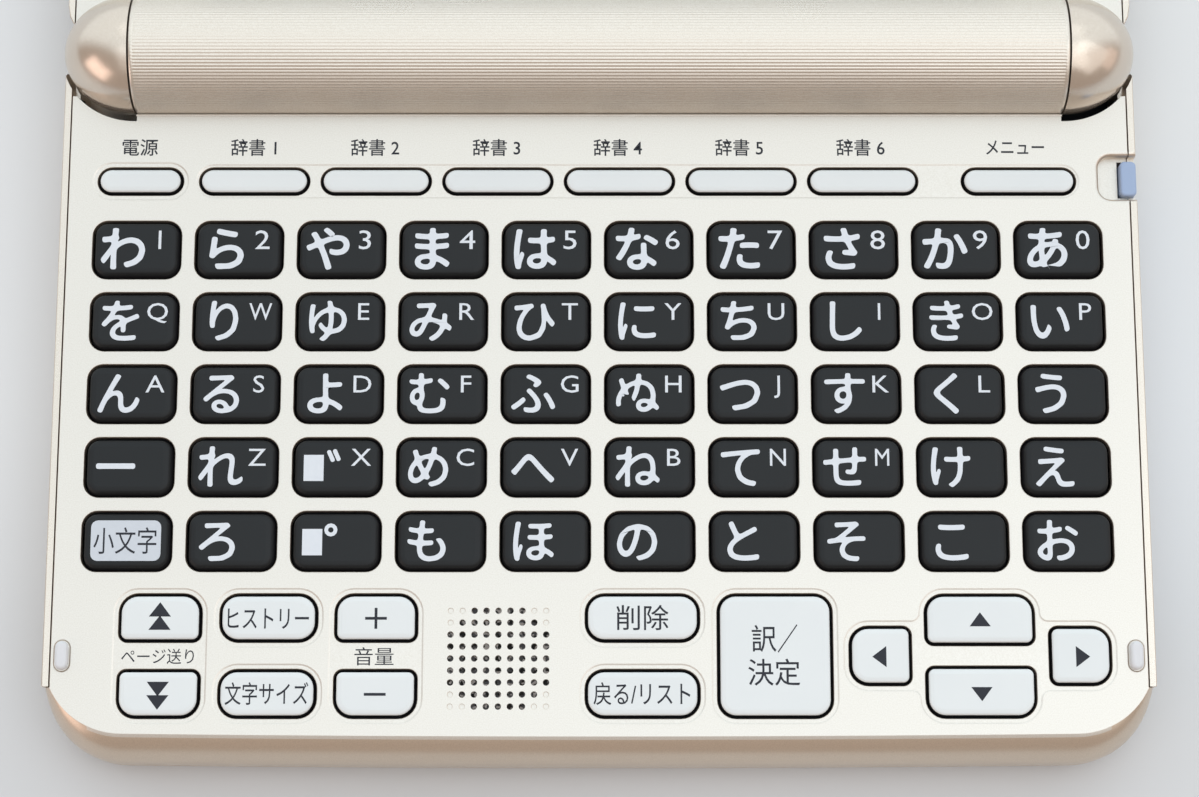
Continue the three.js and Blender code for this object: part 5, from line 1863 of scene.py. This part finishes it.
@dataclass
class LidHalf:
    """The display half: outer cover with its two domes, inner frame, window and panel."""

    levels: Levels
    near: float = 2.2
    near_corner: float = 5.0
    floor: float = 1.3
    skirt: float = 2.1
    gap: float = 0.8
    notch_gap: float = 0.5
    frame_thickness: float = 1.7
    recess: float = 1.0
    ledge: float = 4.0
    window_corner: float = 1.5
    shell: HalfShell = field(init=False)

    def __post_init__(self) -> None:
        """Works out the outer form."""
        self.shell = HalfShell(End.LID, self.levels, self.levels.lid_outer, self.near,
                               self.near_corner, roll=3.8, bottom_round=2.0)

    @property
    def window(self) -> Plan:
        """The display window's figure."""
        low, high = box_of("display_window")
        return Plan((low.x + high.x) / 2, (low.y + high.y) / 2, high.x - low.x, high.y - low.y,
                    (self.window_corner,) * 4)

    def dome(self, side: int) -> Solid:
        """One dome, from the barrel's end to the overall side."""
        at = self.levels
        body = Solid.egg(side * at.dome_x, at.axis, at.dome_length, at.barrel_radius)
        bm = body.bm
        bmesh.ops.bisect_plane(bm, geom=bm.verts[:] + bm.edges[:] + bm.faces[:], dist=1e-4,
                               plane_co=(side * at.dome_x, 0.0, 0.0), plane_no=(side, 0.0, 0.0),
                               clear_inner=True, clear_outer=False)
        bmesh.ops.holes_fill(bm, edges=[e for e in bm.edges if e.is_boundary], sides=0)
        return body

    def build_cover(self) -> None:
        """Builds the outer cover with the two domes moulded on."""
        at, shell = self.levels, self.shell
        floor_top = at.lid_outer + self.floor
        near_radius = at.barrel_radius + self.gap
        wall_radius = near_radius + self.floor
        step = at.reach - shell.corner
        ledge = at.deck - self.skirt - at.clearance
        seam_level = at.deck - shell.roll_drop - 2 * at.clearance
        hollow = shell.tray_hollow(floor_top, wall_radius / 2)
        hollow.combine(Combine.CUT,
                       Solid.rod(wall_radius, -at.dome_x - self.floor, at.dome_x + self.floor,
                                 at.axis, 96))
        for side in (-1, 1):
            hollow.combine(Combine.CUT, Solid.egg(side * at.dome_x, at.axis, at.dome_length,
                                                  at.barrel_radius))
        hollow.combine(Combine.CUT, Solid.block(-at.dome_x, at.dome_x, -CLEAR, near_radius * 0.7,
                                                at.lid_outer, at.axis))
        plate_room = shell.region(shell.seam, self.near, ledge).combine(
            Combine.CUT, Solid.block(-at.dome_x, at.dome_x, -CLEAR, wall_radius - at.plate,
                                     at.lid_outer, at.deck + CLEAR))
        end_room = shell.region(shell.seam, self.near, seam_level).combine(
            Combine.KEEP, Solid.block(-BEYOND, BEYOND, step - at.clearance, BEYOND, at.lid_outer,
                                      at.deck + CLEAR))
        cover = shell.form(rolled=False).combine(
            Combine.CUT, hollow, plate_room, end_room, shell.past_tip(seam_level, shell.seam),
            Solid.rod(near_radius, -at.dome_x, at.dome_x, at.axis, 192))
        cover.combine(Combine.ADD, self.dome(-1), self.dome(1))
        shaft_end = box_of("hinge_shaft_right")[1].x + at.clearance
        cover.combine(Combine.CUT,
                      Solid.rod(2.5, at.dome_x - at.clearance, shaft_end, at.axis, 32),
                      Solid.rod(2.5, -shaft_end, -at.dome_x + at.clearance, at.axis, 32))
        # Tan copy of the lacquer on the cover, the pale one on its level rim, a darker one on the domes:
        # painted shade.
        make_piece(cover, "lid_cover", Finishes.GOLD_WITH_PAINTED_SHADE, "lid", ("lid_back_cover",),
                   Shading(creases=(shell.roll_start / 4,), width=0.8),
                   others=((Finishes.SHELL, self.is_rim), (Finishes.DOME_WITH_PAINTED_SHADE, self.is_dome)))

    def is_rim(self, face: bmesh.types.BMFace) -> bool:
        """Whether a face of the cover belongs to its level rim."""
        middle = face.calc_center_median()
        return middle.y > self.levels.barrel_radius and face.normal.z > 0.88

    def is_dome(self, face: bmesh.types.BMFace) -> bool:
        """Whether a face of the cover belongs to a dome."""
        middle = face.calc_center_median()
        return middle.y < self.levels.barrel_radius and abs(middle.x) > self.levels.barrel_half

    def build_frame(self) -> None:
        """Builds the inner frame round the display window."""
        at, shell = self.levels, self.shell
        seam_level = at.deck - shell.roll_drop - at.clearance
        wall_radius = at.barrel_radius + self.gap + self.floor
        room = shell.region(0.0, self.near, seam_level, 0.12).combine(Combine.ADD,
                                                                     shell.past_tip(seam_level))
        inner = shell.form().combine(Combine.KEEP, room)
        inner.combine(Combine.CUT, shell.plate_hollow(-CLEAR, at.lid_outer - CLEAR),
                      Solid.block(-BEYOND, BEYOND, -CLEAR, at.reach - shell.corner, at.lid_outer,
                                  at.deck - self.skirt))
        window = self.window
        border = window.grown(self.ledge)
        inner.combine(Combine.ADD, Solid.slab(replace(border, corners=(2.0,) * 4),
                                              at.deck - self.frame_thickness, at.under + 0.05))
        inner.combine(Combine.CUT, Solid.block(-at.dome_x - at.clearance, at.dome_x + at.clearance,
                                               -CLEAR, wall_radius - at.plate + at.clearance,
                                               at.lid_outer, at.deck + CLEAR))
        for side in (-1, 1):
            inner.combine(Combine.CUT, Solid.egg(side * at.dome_x, at.axis,
                                                 at.dome_length + self.notch_gap,
                                                 at.barrel_radius + self.notch_gap))
        opening = window.grown(-self.ledge)
        inner.combine(Combine.CUT,
                      Solid.well(window.grown(at.clearance), at.deck, at.deck - self.recess, 0.25, 8),
                      Solid.slab(replace(opening, corners=(1.5,) * 4), at.lid_outer,
                                 at.deck + CLEAR))
        make_piece(inner, "lid_frame", Finishes.DECK, "lid", ("lid_inner_frame",),
                   Shading(creases=(shell.roll_start / 4,), width=0.8))

    def build_window(self) -> None:
        """Builds the clear window, and the black border printed on its back."""
        low, high = box_of("display_window")
        pane = Solid.slab(self.window, low.z + 0.03, high.z, 0.12, 0.0, 8)
        make_piece(pane, "window_pane", Finishes.WINDOW, "lid", ("display_window",))
        mask = Solid()
        face = mask.outline(self.window.grown(-0.1), low.z + 0.01, 8)
        mask.step(face, self.ledge + 3.0, 0.0)
        bmesh.ops.delete(mask.bm, geom=[face], context="FACES")
        make_piece(mask, "window_border", Finishes.MASK_INK, "lid")
        dress_node("display_panel", Finishes.PANEL)

    def build(self) -> None:
        """Builds the lid."""
        self.build_cover()
        self.build_frame()
        self.build_window()


@dataclass
class SmallParts:
    """Stylus, bumpers, feet, screws and battery door."""

    levels: Levels

    def build_bumpers(self) -> None:
        """Builds the two milky bumpers on the deck."""
        for side in ("left", "right"):
            low, high = box_of(f"bumper_{side}")
            plan = Plan((low.x + high.x) / 2, (low.y + high.y) / 2, high.x - low.x, high.y - low.y,
                        ((high.x - low.x) / 2,) * 4)
            pad = Solid.slab(plan.grown(-0.16), low.z, high.z, 0.5, 0.0, 8, 6)
            make_piece(pad, f"bumper_pad_{side}", Finishes.BUMPER, "base", (f"bumper_{side}",))

    def build_feet(self) -> None:
        """Builds the four rubber feet."""
        for place in ("front_left", "front_right", "rear_left", "rear_right"):
            low, high = box_of(f"foot_{place}")
            plan = Plan((low.x + high.x) / 2, (low.y + high.y) / 2, high.x - low.x, high.y - low.y,
                        ((high.y - low.y) / 2,) * 4)
            pad = Solid.slab(plan, low.z, high.z, 0.0, 0.35, 8)
            make_piece(pad, f"foot_pad_{place}", Finishes.RUBBER, "base", (f"foot_{place}",))

    def build_screws(self) -> None:
        """Builds the four case screws with a cross recess."""
        for number in range(1, 5):
            low, high = box_of(f"case_screw_{number}")
            x, y = (low.x + high.x) / 2, (low.y + high.y) / 2
            radius = (high.x - low.x) / 2
            head = Solid.post(radius, x, y, low.z, low.z + 0.8, 32)
            head.soften(lambda edge: all(abs(v.co.z - low.z) < 1e-3 for v in edge.verts), 0.3, 3)
            head.combine(Combine.ADD, Solid.post(1.0, x, y, low.z + 0.7, high.z, 20))
            head.combine(Combine.CUT,
                         Solid.block(x - 1.15, x + 1.15, y - 0.22, y + 0.22, low.z - 1, low.z + 0.55),
                         Solid.block(x - 0.22, x + 0.22, y - 1.15, y + 1.15, low.z - 1, low.z + 0.55))
            make_piece(head, f"screw_{number}", Finishes.STEEL, "base", (f"case_screw_{number}",))

    def build_stylus(self) -> None:
        """Builds the stylus: a slim rounded bar with an upright head."""
        low, high = box_of("stylus")
        width = high.x - low.x
        middle = (low.x + high.x) / 2
        bar_top = low.z + 3.4
        bar = Solid.slab(Plan(middle, (low.y + 6.0 + high.y) / 2, width, high.y - low.y - 6.0,
                              (0.5,) * 4), low.z, bar_top, 0.4, 0.4)
        tip = Solid.slab(Plan(middle, low.y + 3.3, width, 6.6, (0.3,) * 4), low.z + 0.5,
                         bar_top - 0.5)
        for vert in tip.bm.verts:
            if vert.co.y < low.y + 3.3:
                vert.co.x = middle + (vert.co.x - middle) * 0.42
        bar.combine(Combine.ADD, tip)
        head = Solid.slab(Plan(high.x - 1.08, high.y - 2.87, 2.16, 4.8, (0.65,) * 4),
                          low.z + 0.1, high.z, 0.35, 0.0, 6, 5)
        bar.combine(Combine.ADD, head)
        make_piece(bar, "stylus_pen", Finishes.BLUE, "stylus", ("stylus",))

    def build_door(self) -> None:
        """Builds the battery door with grip ridges across its outer face."""
        low, high = box_of("battery_door")
        floor_top = high.z - 2.0
        outer = high.x - 1.2
        depth = high.y - low.y
        middle = (low.y + high.y) / 2
        door = Solid.slab(Plan(0.0, middle, 2 * outer, depth, (0.4,) * 4), low.z, low.z + 0.85,
                          0.0, 0.25)
        door.combine(Combine.ADD,
                     Solid.block(-high.x, high.x, low.y, high.y, low.z + 0.8, floor_top),
                     Solid.block(-high.x, high.x, high.y - 1.3, high.y, floor_top - 0.05, high.z))
        ridges = Solid()
        for side in (-1, 1):
            for number in range(7):
                ridges.absorb(Solid.block(side * 30.0 - 6.0, side * 30.0 + 6.0,
                                          middle - 3.3 + number * 1.1 - 0.2,
                                          middle - 3.3 + number * 1.1 + 0.2, low.z - 1.0,
                                          low.z + 0.28))
        door.combine(Combine.CUT, ridges)
        # The whole door gets the tan copy of the lacquer, painted shade as on the case's other downward
        # faces.
        make_piece(door, "door_panel", Finishes.GOLD_WITH_PAINTED_SHADE, "battery_door", ("battery_door",))

    def build(self) -> None:
        """Builds all of them."""
        self.build_bumpers()
        self.build_feet()
        self.build_screws()
        self.build_stylus()
        self.build_door()


# The studio


@dataclass
class Studio:
    """Camera, floor and soft light."""

    camera_place: tuple[float, float, float] = (0.000055, -0.11691, 0.35962)
    camera_tilt: float = 0.1984
    lens: float = 81.04
    floor_colour: str = "#E4E8EA"
    floor_front_painted_shade: str = "#B9BBBC"
    floor_mottle: str = "#DBE0E5"
    backdrop: str = "#E4E5E8"
    front_colour: str = "#9C8C80"
    rear_colour: str = "#F0F6F9"
    sky: float = 1.26

    def build_camera(self) -> None:
        """Sets the camera above and in front of the keyboard half."""
        data = bpy.data.cameras.new("camera")
        data.lens = self.lens
        data.sensor_width = 36.0
        data.clip_start = 0.01
        camera = bpy.data.objects.new("camera", data)
        camera.location = self.camera_place
        camera.rotation_euler = (self.camera_tilt, 0.0, 0.0)
        bpy.context.scene.collection.objects.link(camera)
        bpy.context.scene.camera = camera

    def build_floor(self) -> None:
        """Lays a pale matte floor, darker towards the front as painted shade."""
        mesh = bpy.data.meshes.new("floor")
        bm = bmesh.new()
        bmesh.ops.create_grid(bm, x_segments=1, y_segments=1, size=4.0)
        bmesh.ops.translate(bm, vec=(0.0, 0.0, -0.0001), verts=bm.verts)
        bm.to_mesh(mesh)
        bm.free()
        material = bpy.data.materials.new("laminate_table_top")
        material.use_nodes = True
        tree = material.node_tree
        tree.nodes.clear()
        place = add_node(tree, "ShaderNodeTexCoord").outputs["Object"]
        mottle = add_node(tree, "ShaderNodeTexNoise", {"Vector": place, "Scale": 6.0, "Detail": 2.0})
        parts = add_node(tree, "ShaderNodeSeparateXYZ", {"Vector": place})
        # The floor darkens towards the front: painted shade.
        painted_shade_to_front = add_node(tree, "ShaderNodeMapRange", {
            "Value": parts.outputs["Y"], "From Min": -0.04, "From Max": -0.11},
            interpolation_type="SMOOTHSTEP")
        painted_shade_sheet = add_node(tree, "ShaderNodeMix", {
            0: painted_shade_to_front.outputs[0], 6: linear(self.floor_colour), 7: linear(self.floor_front_painted_shade)},
            data_type="RGBA")
        tone = add_node(tree, "ShaderNodeMix", {
            0: mottle.outputs[0], 6: painted_shade_sheet.outputs[2], 7: linear(self.floor_mottle)},
            data_type="RGBA")
        shader = add_node(tree, "ShaderNodeBsdfPrincipled", {
            "Base Color": tone.outputs[2], "Roughness": 0.6})
        add_node(tree, "ShaderNodeOutputMaterial", {"Surface": shader.outputs["BSDF"]})
        mesh.materials.append(material)
        floor = bpy.data.objects.new("floor", mesh)
        bpy.context.scene.collection.objects.link(floor)

    def build_world(self) -> None:
        """Sets a soft room: bright above and to the rear, tan and dimmer to the front."""
        world = bpy.data.worlds.new("soft_room")
        bpy.context.scene.world = world
        world.use_nodes = True
        tree = world.node_tree
        tree.nodes.clear()
        direction = add_node(tree, "ShaderNodeTexCoord").outputs["Generated"]
        parts = add_node(tree, "ShaderNodeSeparateXYZ", {"Vector": direction})
        aside = add_node(tree, "ShaderNodeMath", {0: parts.outputs["X"]}, operation="ABSOLUTE")
        bright = add_node(tree, "ShaderNodeMath", {
            0: aside.outputs[0], 1: -0.75, 2: parts.outputs["Y"]}, operation="MULTIPLY_ADD")
        rear = add_node(tree, "ShaderNodeMapRange", {
            "Value": bright.outputs[0], "From Min": -0.7, "From Max": -0.22},
            interpolation_type="SMOOTHSTEP")
        sky = add_node(tree, "ShaderNodeMix", {
            0: rear.outputs[0], 6: linear(self.front_colour), 7: linear(self.rear_colour)},
            data_type="RGBA")
        ray = add_node(tree, "ShaderNodeLightPath")
        shown = add_node(tree, "ShaderNodeMix", {
            0: ray.outputs["Is Camera Ray"], 6: sky.outputs[2], 7: linear(self.backdrop)},
            data_type="RGBA")
        background = add_node(tree, "ShaderNodeBackground", {
            "Color": shown.outputs[2], "Strength": self.sky})
        add_node(tree, "ShaderNodeOutputWorld", {"Surface": background.outputs[0]})

    def build_lamp(self, name: str, place: tuple[float, float, float], width: float, depth: float,
                   power: float, colour: str = "#FFFFFF") -> None:
        """Hangs one soft box that faces the middle of the object.

        Args:
            name: its name.
            place: where it hangs, in metres.
            width: its width in metres.
            depth: its other side in metres.
            power: its power in watts.
            colour: the colour of its light.
        """
        data = bpy.data.lights.new(name, "AREA")
        data.shape = "RECTANGLE"
        data.size, data.size_y = width, depth
        data.energy = power
        data.color = linear(colour)[:3]
        lamp = bpy.data.objects.new(name, data)
        lamp.location = place
        aim = Vector((0.0, -0.02, 0.0)) - Vector(place)
        lamp.rotation_euler = aim.to_track_quat("-Z", "Y").to_euler()
        bpy.context.scene.collection.objects.link(lamp)

    def build(self) -> None:
        """Sets up camera, floor and light."""
        bpy.context.scene.view_settings.view_transform = "Standard"
        self.build_camera()
        self.build_floor()
        self.build_world()
        self.build_lamp("rear_soft_box", (0.05, 0.45, 0.75), 0.8, 0.4, 0.3)
        self.build_lamp("top_soft_box", (0.04, -0.185, 0.47), 0.62, 0.46, 0.36, "#F8FAFD")
        self.build_lamp("right_soft_box", (0.6, -0.3, 0.75), 0.9, 0.8, 1.6)
        self.build_lamp("warm_left", (-0.7, -0.42, 0.3), 0.55, 0.36, 0.95, "#FFE4DA")
        self.build_lamp("warm_right", (0.8, -0.15, 0.25), 0.45, 0.3, 0.24, "#FFE8DE")


def main() -> None:
    """Builds the studio and every sub-assembly in order."""
    logging.basicConfig(level=logging.INFO, format="%(message)s")
    levels = Levels()
    plans = KeyPlans()
    Studio().build()
    BaseHalf(levels, plans).build()
    HingeBarrel(levels).build()
    LidHalf(levels).build()
    Keyboard(levels, plans).build()
    SmallParts(levels).build()


if __name__ == "__main__":
    main()
